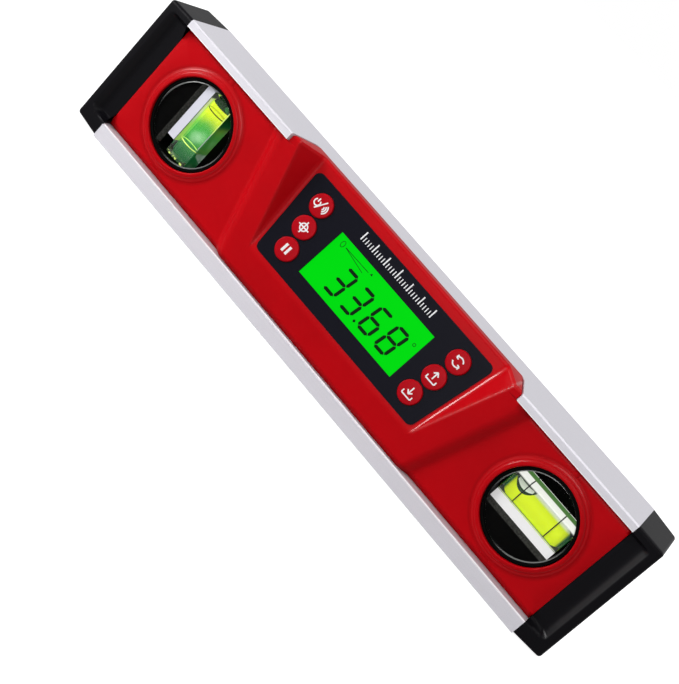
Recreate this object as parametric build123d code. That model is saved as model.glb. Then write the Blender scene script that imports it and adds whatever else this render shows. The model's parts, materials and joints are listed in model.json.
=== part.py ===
from build123d import *

import math
import os

# A digital torpedo level, in millimetres. +X runs along the level, the display faces -Y and +Z is up.
# The origin is under the middle of the level, on the plane of its base. A depth is measured from the
# front plane of the aluminium towards the back.

# Aluminium I-section
frame_length = 235.0
frame_height = 58.0
flange_thickness = 3.1
rail_height = 6.3
web_thickness = 1.8
rear_room = 12.9
edge_chamfer = 0.6
root_fillet = 1.0
groove_mouth = 14.0
groove_depth = 3.2
groove_angle = 45.0
magnet_length = 24.0
magnet_width = 6.0
magnet_thickness = 2.4
magnet_count = 4
magnet_pitch = 54.0

# Clearances
fit = 0.12
screw_clearance = 0.1
key_clearance = 0.15
pin_clearance = 0.1
swing_clearance = 0.3
seat_gap = 0.02

# Front and rear housings
wall = 2.0
vial_panel_setback = 3.5
pod_setback = 0.9
pod_width = 115.0
flank_lean = 16.5
flank_run = 3.4
flank_round = 0.8
notch_front_width = 123.1
notch_back_width = 111.4
notch_corner = 3.0
rear_setback = 1.0

# Sloping display pocket in the front of the pod
pocket_tilt = 14.0
pocket_rim = 4.58
pocket_width = 87.8
pocket_edge_spread = 8.2
ridge_spread = 17.6
ridge_round = 0.5
floor_thickness = 2.0

# Display panel, liquid-crystal display and keys, on the slope of the pocket
panel_thickness = 0.8
panel_foot = 1.0
panel_length = 35.4
panel_top_margin = 4.2
panel_foot_width = 85.2
panel_edge_spread = 7.9
panel_corner = 2.5
display_width = 49.9
display_height = 20.8
display_drop = 1.2
display_border = 1.4
display_glass_thickness = 1.7
backlight_thickness = 1.7
connector_width = 1.8
board_thickness = 1.2
board_gap = 0.1
board_margin = 1.0
board_side_margin = 3.0
key_diameter = 9.1
key_gap = 0.7
key_step = 1.62
key_offset = 35.37
key_proud = 0.9
key_edge_chamfer = 0.4
key_travel = 0.6
key_ear_reach = 1.3
key_ear_width = 3.4
key_ear_thickness = 0.8
switch_size = 4.5
switch_height = 1.5
switch_plunger_radius = 1.0
switch_plunger_height = 0.4
board_screw_radius = 0.8
board_screw_head_radius = 1.7
board_screw_head_height = 1.1
board_post_radius = 1.9
buzzer_radius = 6.0
buzzer_height = 3.4
sensor_size = 4.0
sensor_height = 1.1
controller_size = 9.0
controller_height = 1.4

# Vials: a clear block with a barrel bore, in a round cup with a window
vial_end_distance = 25.3
ring_setback = 2.8
boss_height = 1.0
boss_width = 1.8
boss_slope = 1.8
boss_round = 0.4
lens_lip = 0.8
lens_thickness = 1.2
lens_overlap = 1.0
neck_wall = 1.0
cup_wall = 1.7
cup_floor = 1.2
block_length = 29.0
block_depth = 12.0
block_height = 13.0
block_rise = 0.4
block_chamfer = 0.5
reflector_thickness = 1.0
block_end_wall = 1.0
bore_radius = 4.5
bore_end_radius = 4.2
bore_end_round = 2.0
plug_radius = 2.0
bubble_length = 9.0
bubble_radius = 2.0
bubble_top_gap = 0.5
bubble_clearance = 0.15

# Battery bay and door in the rear housing
cell_radius = 5.25
cell_length = 44.5
cell_nub_radius = 1.9
cell_nub_height = 1.1
cell_edge_chamfer = 0.5
cell_gap = 0.5
cell_clearance = 0.3
contact_room = 2.8
contact_thickness = 0.4
contact_width = 7.0
bay_wall = 1.2
bay_floor = 1.0
door_thickness = 2.0
door_overlap = 3.0
door_corner = 2.0
door_pin_radius = 0.5
door_pin_length = 1.2
grip_count = 4
grip_length = 13.0
grip_width = 0.8
grip_depth = 0.4
grip_pitch = 2.0
scoop_radius = 8.0
scoop_depth = 1.6
scoop_width = 14.0
lead_radius = 0.6
lead_bend = 2.0

# Screws that hold the two housings to the web
screw_radius = 1.25
screw_head_radius = 2.3
screw_head_height = 1.5
screw_head_recess = 0.4
screw_boss_radius = 3.4
screw_edge_distance = 7.0
screw_bite = 7.0

# End caps
cap_length = 12.0
cap_draft_depth = 1.4
cap_draft_height = 0.6
cap_foot_lift = 0.3
cap_edge_round = 1.2
cap_rim = 2.9
cap_dish_slope = 4.2
cap_dish_side = 1.8
cap_tongue_length = 5.0
cap_hollow = 7.5

# Places worked out from the sizes
tilt = math.radians(pocket_tilt)
slope_length = panel_foot + panel_length + panel_top_margin
pocket_foot_z = frame_height - slope_length * math.cos(tilt)
web_setback = pod_setback + slope_length * math.sin(tilt) + pocket_rim
frame_depth = web_setback + web_thickness + rear_room
front = -frame_depth / 2
back = frame_depth / 2
web_front = front + web_setback
web_back = web_front + web_thickness
half_length = frame_length / 2
flange_bottom = frame_height - flange_thickness
housing_low = rail_height + fit
housing_high = flange_bottom - fit
housing_middle = (housing_low + housing_high) / 2
housing_half_length = half_length - fit
rear_face = back - rear_setback
vial_x = half_length - vial_end_distance
cup_inner_radius = math.hypot(block_length / 2, block_height / 2 + block_rise) + fit
window_radius = cup_inner_radius - lens_overlap
ring_radius = cup_inner_radius + neck_wall
cup_radius = cup_inner_radius + cup_wall
key_distance = key_diameter + key_gap
key_pitch = math.sqrt(key_distance**2 - key_step**2)
lean = math.tan(math.radians(flank_lean))
standing = (Align.CENTER, Align.CENTER, Align.MIN)


def pod_half_width(z):
    """Half the width of the pod's front face at a height: its flanks lean outwards going up."""
    return pod_width / 2 + lean * (z - housing_middle)


def box_between(low, high):
    """A box between two opposite corners."""
    size = [b - a for a, b in zip(low, high)]
    middle = [(a + b) / 2 for a, b in zip(low, high)]
    return Pos(*middle) * Box(*size)


def rod_along_y(radius, y0, y1, x=0.0, z=0.0):
    """A round rod along Y between two places on that axis."""
    return Pos(x, (y0 + y1) / 2, z) * Rot(90, 0, 0) * Cylinder(radius, abs(y1 - y0))


def trapezoid(y, z0, z1, half0, half1):
    """The corners of an upright four-sided face across the level, symmetric about X = 0."""
    return [(-half0, y, z0), (half0, y, z0), (half1, y, z1), (-half1, y, z1)]


def flat_sided(first, last):
    """A block with flat sides between two four-sided faces whose edges run the same way."""
    sides = [[first[i - 1], first[i], last[i], last[i - 1]] for i in range(4)]
    return Solid(Shell([Face(Wire.make_polygon(corners)) for corners in (first, last, *sides)]))


def rounded_plate(outline, low, high):
    """A plate of an outline in the XZ plane, between two places along Y."""
    return extrude(Plane.XZ * outline, amount=high - low).moved(Location((0, high, 0)))


# The slope of the pocket: its own plane, with x across the level, y up the slope and z out of the panel
slope = Plane(
    origin=(0, front + pod_setback, pocket_foot_z),
    x_dir=(1, 0, 0),
    z_dir=(0, -math.cos(tilt), math.sin(tilt)),
)
panel_middle = panel_foot + panel_length / 2
display_middle = panel_middle - display_drop
display_low = display_middle - display_height / 2
glass_back = panel_thickness + display_glass_thickness
backlight_back = glass_back + backlight_thickness
board_front = backlight_back + board_gap
board_back = board_front + board_thickness
board_reach = key_pitch + switch_size / 2 + board_margin
board_low = panel_middle - board_reach
board_high = panel_middle + board_reach


def key_places():
    """The six keys' centres on the slope: the left column from the bottom up, then the right one."""
    column = [(key_offset + row * key_step, panel_middle + row * key_pitch) for row in (-1, 0, 1)]
    return [(side * x, v) for side in (-1, 1) for x, v in column]


board_screw_x = display_width / 2 + display_border + 2 * fit + board_post_radius


def board_screw_places():
    """The board's four screws, beside the display and level with the gaps between the keys."""
    rows = [panel_middle + row * key_pitch / 2 for row in (-1, 1)]
    return [(side * board_screw_x, v) for side in (-1, 1) for v in rows]


def screw_places():
    """The four housing screws, between the pod and the windows."""
    across = (pod_half_width(housing_middle) + vial_x - ring_radius) / 2
    heights = (housing_low + screw_edge_distance, housing_high - screw_edge_distance)
    return [(side * across, z) for side in (-1, 1) for z in heights]


def on_slope(shape, x=0.0, y=0.0, z=0.0):
    """Places a shape on the slope of the pocket."""
    return slope.location * Pos(x, y, z) * shape


def panel_outline(grow):
    """The display panel's outline: a trapezoid with round corners, wider at the top."""
    spread = math.tan(math.radians(panel_edge_spread)) * panel_length
    low_half = panel_foot_width / 2 + grow
    high_half = low_half + spread
    low = panel_foot - grow
    high = panel_foot + panel_length + grow
    corners = [(-low_half, low), (low_half, low), (high_half, high), (-high_half, high)]
    face = make_face(Polyline(*corners, close=True))
    return fillet(face.vertices(), panel_corner + grow)


def pocket_space(grow):
    """The space in front of the slope, between two flat side walls that spread upwards and outwards."""
    reach = frame_depth + frame_length
    space = box_between((-reach, front - wall, housing_low), (reach, back, frame_height + wall))
    low = Plane(slope.origin - slope.z_dir * grow, x_dir=(1, 0, 0), z_dir=slope.z_dir)
    space = split(space, bisect_by=low, keep=Keep.TOP)
    for side in (-1, 1):
        foot = Vector(side * pocket_width / 2, front + pod_setback, pocket_foot_z)
        ridge = Vector(side * math.tan(math.radians(ridge_spread)), 0, 1)
        edge = slope.x_dir * (side * math.tan(math.radians(pocket_edge_spread))) + slope.y_dir
        out = ridge.cross(edge).normalized()
        if out.X * side < 0:
            out = -out
        space = split(space, bisect_by=Plane(foot + out * grow, z_dir=out), keep=Keep.BOTTOM)
    return space


def notch_outline(grow):
    """The notch in the top flange, seen from above: slanted ends and round inner corners."""
    deep = web_front + grow
    wide = notch_front_width / 2 + grow
    narrow = notch_back_width / 2 + grow
    corners = [(-wide, front - wall), (wide, front - wall), (narrow, deep), (-narrow, deep)]
    face = make_face(Polyline(*corners, close=True))
    return fillet([v for v in face.vertices() if v.Y > front], notch_corner)


# Aluminium frame and its magnets


def magnet_places():
    return [(i - (magnet_count - 1) / 2) * magnet_pitch for i in range(magnet_count)]


def magnets(grow):
    size = (magnet_length + 2 * grow, magnet_width + 2 * grow, magnet_thickness + grow)
    height = groove_depth + size[2] / 2
    return [Pos(x, 0, height) * Box(*size) for x in magnet_places()]


def web_window():
    """The opening in the web for the battery bay and its leads."""
    half_x = lead_x + lead_radius + swing_clearance + root_fillet
    half_z = bay_half_height + bay_wall + swing_clearance
    outline = RectangleRounded(2 * half_x, 2 * half_z, root_fillet)
    return rounded_plate(Pos(0, housing_middle) * outline, web_front - fit, web_back + fit)


def aluminium_frame():
    """An I-section with a V-groove in its base, notched for the pod and pierced for the vials."""
    roof = groove_mouth - 2 * groove_depth * math.tan(math.radians(groove_angle))
    corners = [
        (front, 0),
        (-groove_mouth / 2, 0),
        (-roof / 2, groove_depth),
        (roof / 2, groove_depth),
        (groove_mouth / 2, 0),
        (back, 0),
        (back, rail_height),
        (web_back, rail_height),
        (web_back, flange_bottom),
        (back, flange_bottom),
        (back, frame_height),
        (front, frame_height),
        (front, flange_bottom),
        (web_front, flange_bottom),
        (web_front, rail_height),
        (front, rail_height),
    ]
    section = make_face(Polyline(*corners, close=True))
    outer = [v for v in section.vertices() if v.X in (front, back)]
    section = chamfer([v for v in outer if v.Y in (rail_height, frame_height)], edge_chamfer)
    roots = [v for v in section.vertices() if v.Y in (rail_height, flange_bottom) and front < v.X < back]
    section = fillet([v for v in roots if v.X in (web_front, web_back)], root_fillet)
    frame = extrude(Plane.YZ * section, amount=half_length, both=True)
    notch = extrude(notch_outline(0), amount=flange_thickness + root_fillet + wall)
    frame -= Pos(0, 0, flange_bottom - root_fillet) * notch
    frame -= web_window()
    for side in (-1, 1):
        hole = cup_radius + fit
        frame -= rod_along_y(hole, web_front - wall, web_back + wall, side * vial_x, housing_middle)
    for x, z in screw_places():
        frame -= rod_along_y(screw_radius + screw_clearance, web_front - fit, web_back + fit, x, z)
    for pocket in magnets(seat_gap):
        frame -= pocket
    return frame


# Front housing


def front_housing():
    """A channel moulding: sunk vial panels with raised rings, and a pod with the sloping pocket."""
    face = front + vial_panel_setback
    pod_face = front + pod_setback
    end = web_front - fit
    long = housing_half_length
    low_half = pod_half_width(housing_low)
    high_half = pod_half_width(housing_high)
    outer = box_between((-long, face, housing_low), (long, end, housing_high))
    outer = chamfer(outer.faces().sort_by(Axis.Y)[-1].edges().filter_by(Axis.X), root_fillet)
    outer += flat_sided(
        trapezoid(pod_face, housing_low, housing_high, low_half, high_half),
        trapezoid(face, housing_low, housing_high, low_half + flank_run, high_half + flank_run),
    )
    flanks = [e for e in outer.edges() if abs(abs(e.tangent_at(0).Z) - math.cos(math.atan(lean))) < 1e-3]
    outer = fillet([e for e in flanks if e.length > wall * 4], flank_round)
    head = extrude(notch_outline(-fit), amount=frame_height - housing_high)
    head = Pos(0, 0, housing_high) * head
    head = split(head, bisect_by=Plane((0, pod_face, 0), z_dir=(0, -1, 0)), keep=Keep.BOTTOM)
    outer += head
    rings = [window_boss(side) for side in (-1, 1)]
    for ring in rings:
        outer += ring

    inner_low = housing_low + wall
    inner_high = housing_high - wall
    cavity = box_between((-half_length, face + wall, inner_low), (half_length, back, inner_high))
    cavity += flat_sided(
        trapezoid(pod_face + wall, inner_low, inner_high, low_half - wall, high_half - wall),
        trapezoid(face + wall, inner_low, inner_high, low_half + wall, high_half + wall),
    )
    head_room = extrude(notch_outline(-fit - wall), amount=frame_height - wall - inner_high)
    head_room = Pos(0, 0, inner_high) * head_room
    cavity += split(head_room, bisect_by=Plane((0, pod_face + wall, 0), z_dir=(0, -1, 0)), keep=Keep.BOTTOM)
    cavity -= pocket_space(floor_thickness)

    housing = outer - cavity
    housing -= pocket_space(0)
    ridges = [
        e
        for e in housing.edges().filter_by(GeomType.LINE)
        if abs(e.center().Y - pod_face) < 1e-3
        and abs(abs(e.tangent_at(0).X) - math.sin(math.radians(ridge_spread))) < 1e-2
        and e.length > panel_length / 2
    ]
    housing = fillet(ridges, ridge_round)
    panel_seat = extrude(panel_outline(fit), amount=panel_thickness + fit)
    housing = housing - on_slope(panel_seat, z=-panel_thickness)
    housing -= display_opening()
    for x, v in key_places():
        housing -= on_slope(key_opening(), x, v)
    for side in (-1, 1):
        hole = ring_radius + fit
        housing -= rod_along_y(hole, front - wall, face + wall + fit, side * vial_x, housing_middle)
    for x, z in screw_places():
        housing += rod_along_y(screw_boss_radius, pod_face, end, x, z) & outer
        housing -= rod_along_y(screw_radius + screw_clearance, end - screw_bite, end + fit, x, z)
    for x, v in board_screw_places():
        tall = board_front - floor_thickness
        housing += on_slope(Cylinder(board_post_radius, tall, align=standing), x, v, -board_front)
        pilot = Cylinder(board_screw_radius + seat_gap, tall, align=standing)
        housing -= on_slope(pilot, x, v, -board_front)
    return housing


def window_boss(side):
    """A raised ring round a vial window, with a sloping outer side."""
    top = ring_radius + boss_width
    ring = Cone(top + boss_slope, top, boss_height)
    ring = fillet(ring.edges().sort_by(Axis.Z)[-1:], boss_round)
    middle = front + vial_panel_setback - boss_height / 2
    return Pos(side * vial_x, middle, housing_middle) * Rot(90, 0, 0) * ring


def display_opening():
    """The opening behind the panel that the display's glass and backlight stand in."""
    width = display_width + 2 * display_border + 2 * fit
    height = display_height + 2 * display_border + 2 * fit
    deep = board_front
    return on_slope(Box(width, height, deep), 0, display_middle, -panel_thickness - deep / 2)


def key_opening():
    """The opening in the pocket's floor that a key and its ears move in."""
    reach = key_diameter + 2 * key_ear_reach + 4 * key_clearance
    tall = key_diameter + 2 * key_clearance
    deep = board_front
    room = Pos(0, 0, -panel_thickness - deep / 2) * Box(reach, key_ear_width + 4 * key_clearance, deep)
    return room + Pos(0, 0, -panel_thickness - deep / 2) * Cylinder(tall / 2, deep)


# Display panel, display and board


def display_panel():
    """A dark plate with an opening for the display and a round hole for each key."""
    plate = on_slope(extrude(panel_outline(0), amount=panel_thickness), z=-panel_thickness)
    opening = Box(display_width, display_height, 4 * panel_thickness)
    plate -= on_slope(opening, 0, display_middle)
    for x, v in key_places():
        plate -= on_slope(Cylinder(key_diameter / 2 + key_clearance, 4 * panel_thickness), x, v)
    return plate


def slope_plate(width, height, v, depth, thickness):
    """A plate on the slope whose outer face lies at a depth under the panel's face."""
    return on_slope(Box(width, height, thickness), 0, v, -depth - thickness / 2)


def lcd_glass():
    width = display_width + 2 * display_border
    height = display_height + 2 * display_border
    return slope_plate(width, height, display_middle, panel_thickness, display_glass_thickness)


def lcd_backlight():
    width = display_width + 2 * display_border
    height = display_height + 2 * display_border - connector_width - fit
    middle = display_middle + (connector_width + fit) / 2
    return slope_plate(width, height, middle, glass_back, backlight_thickness)


def lcd_connector():
    """The rubber strip that joins the display's glass to the board along its lower edge."""
    middle = display_low - display_border + connector_width / 2
    return slope_plate(display_width, connector_width, middle, glass_back, backlight_thickness + board_gap)


def circuit_board():
    """A board the shape of the panel, with holes for its screws."""
    spread = math.tan(math.radians(panel_edge_spread))
    low_half = panel_foot_width / 2 - board_side_margin
    high_half = low_half + spread * (board_high - board_low)
    foot = [(-low_half, board_low), (low_half, board_low)]
    top = [(high_half, board_high), (-high_half, board_high)]
    face = make_face(Polyline(*foot, *top, close=True))
    face = fillet(face.vertices(), panel_corner)
    board = on_slope(extrude(face, amount=board_thickness), z=-board_back)
    for x, v in board_screw_places():
        hole = Cylinder(board_screw_radius + screw_clearance, 4 * board_thickness)
        board -= on_slope(hole, x, v, -board_back)
    return board


def board_screws():
    shank = board_thickness + (board_front - floor_thickness) / 2
    screw = Pos(0, 0, shank / 2) * Cylinder(board_screw_radius, shank)
    head = Cylinder(board_screw_head_radius, board_screw_head_height)
    head = Pos(0, 0, -board_screw_head_height / 2) * head
    return [on_slope(screw + head, x, v, -board_back) for x, v in board_screw_places()]


def key_switches():
    """A push switch on the board under each key."""
    body = Pos(0, 0, switch_height / 2) * Box(switch_size, switch_size, switch_height)
    body = chamfer(body.edges().filter_by(Axis.Z), switch_size / 10)
    rise = switch_height + switch_plunger_height
    body += Pos(0, 0, rise / 2) * Cylinder(switch_plunger_radius, rise)
    return [on_slope(body, x, v, -board_front) for x, v in key_places()]


def key(x, v):
    """A round key with a rolled top edge, held behind the panel by two ears."""
    ear_top = -panel_thickness - key_clearance
    foot = -board_front + switch_height + switch_plunger_height + key_travel + key_clearance / 2
    body = Pos(0, 0, foot) * Cylinder(key_diameter / 2, key_proud - foot, align=standing)
    body = chamfer(body.edges().sort_by(Axis.Z)[-1:], key_edge_chamfer)
    ears = Box(key_diameter + 2 * key_ear_reach, key_ear_width, key_ear_thickness)
    return on_slope(body + Pos(0, 0, ear_top - key_ear_thickness / 2) * ears, x, v)


def board_part(width, height, thickness, x, v):
    """A square component on the back of the board."""
    return on_slope(Box(width, height, thickness), x, v, -board_back - thickness / 2)


def buzzer():
    disc = Cylinder(buzzer_radius, buzzer_height)
    disc = chamfer(disc.edges().sort_by(Axis.Z)[:1], key_edge_chamfer)
    return on_slope(disc, -key_offset, display_low, -board_back - buzzer_height / 2)


# Vials, made at the origin with the bore along X and then placed


ring_front = front + ring_setback
lens_front = ring_front + lens_lip
lens_back = lens_front + lens_thickness
shoulder = front + vial_panel_setback + wall
block_front = lens_back + fit
block_back = block_front + block_depth
cup_back = block_back + fit + cup_floor
block_low = block_rise - block_height / 2
platform = block_low - reflector_thickness
lens_radius = cup_inner_radius - seat_gap
bore_length = block_length - 2 * block_end_wall


def vial_cup():
    """A round cup with a neck for the window's ring and a flat platform under the vial."""
    cup = rod_along_y(ring_radius, ring_front, shoulder + fit)
    cup += rod_along_y(cup_radius, shoulder + fit, cup_back)
    room = rod_along_y(cup_inner_radius, lens_front, cup_back - cup_floor)
    reach = 2 * cup_radius
    below = box_between((-reach, lens_back, -reach), (reach, back, platform))
    return cup - (room - below) - rod_along_y(window_radius, ring_front - wall, lens_front + fit)


def vial_lens():
    return rod_along_y(lens_radius, lens_front, lens_back - seat_gap)


def vial_reflector():
    """A white strip on the platform that the block stands on."""
    half = math.sqrt(cup_inner_radius**2 - platform**2) - fit
    return box_between((-half, block_front, platform), (half, block_back, block_low))


def barrel(grow):
    """The vial's bore: a shallow barrel along X with rounded ends."""
    half = bore_length / 2 + grow
    end = bore_end_radius + grow
    top = ThreePointArc((-half, end), (0, bore_radius + grow), (half, end))
    ends = [Line((-half, 0), (-half, end)), Line((half, end), (half, 0))]
    face = make_face([*ends, top, Line((half, 0), (-half, 0))])
    face = fillet([v for v in face.vertices() if v.Y > 0], bore_end_round)
    middle = (block_front + block_back) / 2
    return Pos(0, middle, block_rise) * revolve(face, axis=Axis.X)


def plug(radius, start):
    middle = (block_front + block_back) / 2
    length = block_length / 2 - start
    return Pos(start + length / 2, middle, block_rise) * Rot(0, 90, 0) * Cylinder(radius, length)


def vial_block():
    """A clear block round the bore, with a filling hole at one end."""
    high = block_low + block_height
    half = block_length / 2
    block = box_between((-half, block_front, block_low), (half, block_back, high))
    block = chamfer(block.edges().filter_by(Axis.X), block_chamfer)
    return block - barrel(0) - plug(plug_radius, 0)


def vial_plug():
    return plug(plug_radius - seat_gap, bore_length / 2 + seat_gap)


def bubble(grow):
    """A long round bubble under the top of the bore, at its first end."""
    radius = bubble_radius + grow
    straight = bubble_length / 2 - bubble_radius
    shape = Rot(0, 90, 0) * Cylinder(radius, 2 * straight)
    for side in (-1, 1):
        shape += Pos(side * straight, 0, 0) * Sphere(radius)
    x = bubble_length / 2 + 2 * bubble_clearance - bore_length / 2
    middle = (block_front + block_back) / 2
    rise = block_rise + bore_end_radius - bubble_top_gap - bubble_radius
    return Pos(x, middle, rise) * shape


def vial_fluid():
    return barrel(-seat_gap) - bubble(bubble_clearance)


# Rear housing, battery bay and door

bay_half_length = cell_length / 2 + contact_room
bay_half_height = 2 * cell_radius + cell_gap / 2 + cell_clearance
door_half_length = bay_half_length + door_overlap
door_half_height = bay_half_height + door_overlap
door_back = rear_face - door_thickness
ledge = door_back - fit
cell_y = ledge - cell_clearance - cell_radius
bay_bottom = cell_y - cell_radius - cell_clearance
door_axis_x = door_thickness / 2 - door_half_length
door_axis_y = rear_face - door_thickness / 2
lead_clear = max(board_screw_x + board_screw_head_radius, bay_half_length + bay_wall + lead_bend)
lead_x = lead_clear + lead_radius + fit


def door_outline(grow):
    outline = Rectangle(2 * (door_half_length + grow), 2 * (door_half_height + grow))
    latch_end = [v for v in outline.vertices() if v.X > 0]
    return Pos(0, housing_middle) * fillet(latch_end, door_corner)


def rear_housing():
    """A plain channel moulding with a battery bay, a door seat and deep-set screw seats."""
    start = web_back + fit
    long = housing_half_length
    housing = box_between((-long, start, housing_low), (long, rear_face, housing_high))
    housing = chamfer(housing.faces().sort_by(Axis.Y)[-1].edges().filter_by(Axis.X), edge_chamfer)
    housing = chamfer(housing.faces().sort_by(Axis.Y)[0].edges().filter_by(Axis.X), root_fillet)
    room = box_between(
        (-half_length, web_front, housing_low + wall), (half_length, rear_face - wall, housing_high - wall)
    )
    frame_half_x = door_half_length + swing_clearance + wall
    frame_half_z = door_half_height + swing_clearance + wall
    seat = box_between(
        (-frame_half_x, ledge - wall, housing_middle - frame_half_z),
        (frame_half_x, rear_face, housing_middle + frame_half_z),
    )
    bay_x = bay_half_length + bay_wall
    bay_z = bay_half_height + bay_wall
    bay = box_between(
        (-bay_x, bay_bottom - bay_floor, housing_middle - bay_z), (bay_x, rear_face, housing_middle + bay_z)
    )
    housing = housing - room + seat + bay
    housing -= box_between(
        (-bay_half_length, bay_bottom, housing_middle - bay_half_height),
        (bay_half_length, rear_face + wall, housing_middle + bay_half_height),
    )
    housing -= rounded_plate(door_outline(swing_clearance), ledge, rear_face + wall)
    pin_reach = door_half_height + swing_clearance + door_pin_length
    pin_hole = Cylinder(door_pin_radius + pin_clearance, 2 * pin_reach)
    housing -= Pos(door_axis_x, door_axis_y, housing_middle) * pin_hole
    scoop = Pos(door_half_length, rear_face + scoop_radius - scoop_depth, housing_middle)
    housing -= scoop * Cylinder(scoop_radius, scoop_width)
    for x, z in screw_places():
        housing += rod_along_y(screw_boss_radius, start, rear_face - wall + fit, x, z)
        housing -= rod_along_y(screw_radius + screw_clearance, start - fit, rear_face + fit, x, z)
        seat_start = rear_face - screw_head_height - screw_head_recess
        seat_radius = screw_head_radius + screw_clearance
        housing -= rod_along_y(seat_radius, seat_start, rear_face + fit, x, z)
    for y, z in lead_holes():
        lead_hole = Cylinder(lead_radius + 2 * fit, 2 * bay_wall)
        housing -= Pos(bay_x - bay_wall / 2, y, z) * Rot(0, 90, 0) * lead_hole
    return housing


def battery_door():
    """A flat door with a rolled hinge edge and two pins, and grip grooves at its latch end."""
    door = rounded_plate(door_outline(0), door_back, rear_face)
    hinge_edges = door.faces().sort_by(Axis.X)[0].edges().filter_by(Axis.Z)
    door = fillet(hinge_edges, door_thickness / 2 - seat_gap)
    for i in range(grip_count):
        x = door_half_length - door_corner - (i + 1) * grip_pitch
        groove = Box(grip_width, 2 * grip_depth, grip_length)
        door -= Pos(x, rear_face, housing_middle) * groove
    pin = Cylinder(door_pin_radius, 2 * (door_half_height + door_pin_length))
    pin = Pos(door_axis_x, door_axis_y, housing_middle) * pin
    middle = Pos(door_axis_x, door_axis_y, housing_middle) * Box(
        4 * door_pin_radius, 4 * door_pin_radius, 2 * door_half_height - door_thickness
    )
    return door + (pin - middle)


def battery_cell(row):
    """A round cell with its nub towards one end of the bay, turned about in the other row."""
    body_length = cell_length - cell_nub_height
    cell = Pos(-cell_nub_height / 2, 0, 0) * Rot(0, 90, 0) * Cylinder(cell_radius, body_length)
    cell = chamfer(cell.edges().filter_by(GeomType.CIRCLE), cell_edge_chamfer)
    nub = Pos(cell_length / 2 - cell_nub_height / 2, 0, 0) * Rot(0, 90, 0)
    cell += nub * Cylinder(cell_nub_radius, cell_nub_height)
    z = housing_middle + row * (cell_radius + cell_gap / 2)
    return Pos(0, cell_y, z) * Rot(0, 0, 0 if row > 0 else 180) * cell


def contact_leaf(z, side):
    """A bent leaf spring between a cell's end and the wall of the bay."""
    wall_x = bay_half_length - fit / 2
    tip_x = cell_length / 2 + fit
    low = cell_y - contact_width / 2
    high = cell_y + contact_width / 2
    middle = (wall_x + tip_x) / 2
    foot = (wall_x - contact_thickness / 2, low)
    tip = (tip_x + contact_thickness / 2, cell_y)
    path = Polyline(foot, tip, (middle, high))
    strip = make_face(offset(path, contact_thickness / 2))
    leaf = Pos(0, 0, z - contact_width / 2) * extrude(strip, amount=contact_width)
    return leaf if side > 0 else mirror(leaf, about=Plane.YZ)


def contact_base(z0, z1, side):
    """The flat back of a contact, against the wall of the bay."""
    wall_x = bay_half_length - fit / 2
    plate = box_between(
        (wall_x - contact_thickness, cell_y - contact_width / 2, z0),
        (wall_x, cell_y + contact_width / 2, z1),
    )
    return plate if side > 0 else mirror(plate, about=Plane.YZ)


def cell_rows():
    return [housing_middle + row * (cell_radius + cell_gap / 2) for row in (-1, 1)]


def battery_bridge():
    """The contact that joins the two cells at one end of the bay."""
    low, high = cell_rows()
    half = contact_width / 2
    part = contact_base(low - half, high + half, -1)
    for z in (low, high):
        part += contact_leaf(z, -1)
    return part


def battery_contacts():
    """The two contacts at the other end of the bay."""
    half = contact_width / 2
    return [contact_base(z - half, z + half, 1) + contact_leaf(z, 1) for z in cell_rows()]


def lead_holes():
    """Where the two leads pass through the end wall of the bay."""
    return [(cell_y - contact_width / 2 - lead_radius, z) for z in cell_rows()]


def battery_leads():
    """Two leads from the contacts, through the window in the web, to the back of the board."""
    leads = []
    for y, z in lead_holes():
        v = (z - pocket_foot_z) / math.cos(tilt)
        end = slope.from_local_coords((lead_x, v, -board_back - lead_radius))
        path = FilletPolyline((bay_half_length, y, z), (lead_x, y, z), (lead_x, end.Y, z), radius=lead_bend)
        section = Plane(path @ 0, z_dir=path % 0) * Circle(lead_radius)
        leads.append(sweep(section, path=path))
    return leads


# Fasteners and end caps


def housing_screws():
    """Screws from the back of the level into the bosses of the front housing."""
    screws = []
    head_back = rear_face - screw_head_recess
    head_front = head_back - screw_head_height
    tip = web_front - fit - screw_bite + fit
    for x, z in screw_places():
        shank = rod_along_y(screw_radius, tip, head_front, x, z)
        screws.append(shank + rod_along_y(screw_head_radius, head_front, head_back, x, z))
    return screws


def cap_section(x, depth_draft, low, high):
    half = frame_depth / 2 - depth_draft
    return [(x, -half, low), (x, half, low), (x, half, high), (x, -half, high)]


def cap_dish(face):
    """The dished front or back of a cap: a floor level with the vial panel, a broad slope up to the end of
    the cap and steeper sides."""
    deep = vial_panel_setback if face < 0 else rear_setback + edge_chamfer
    outer = half_length + cap_length - cap_rim
    y_out = face * frame_depth / 2
    y_in = face * (frame_depth / 2 - deep)

    def mouth(y, side, slope):
        low = housing_low + side
        high = housing_high - side
        near = half_length - cap_length
        far = outer - slope
        return [(near, y, low), (far, y, low), (far, y, high), (near, y, high)]

    return flat_sided(mouth(y_in, cap_dish_side, cap_dish_slope), mouth(y_out + face * fit, 0, 0))


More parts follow.
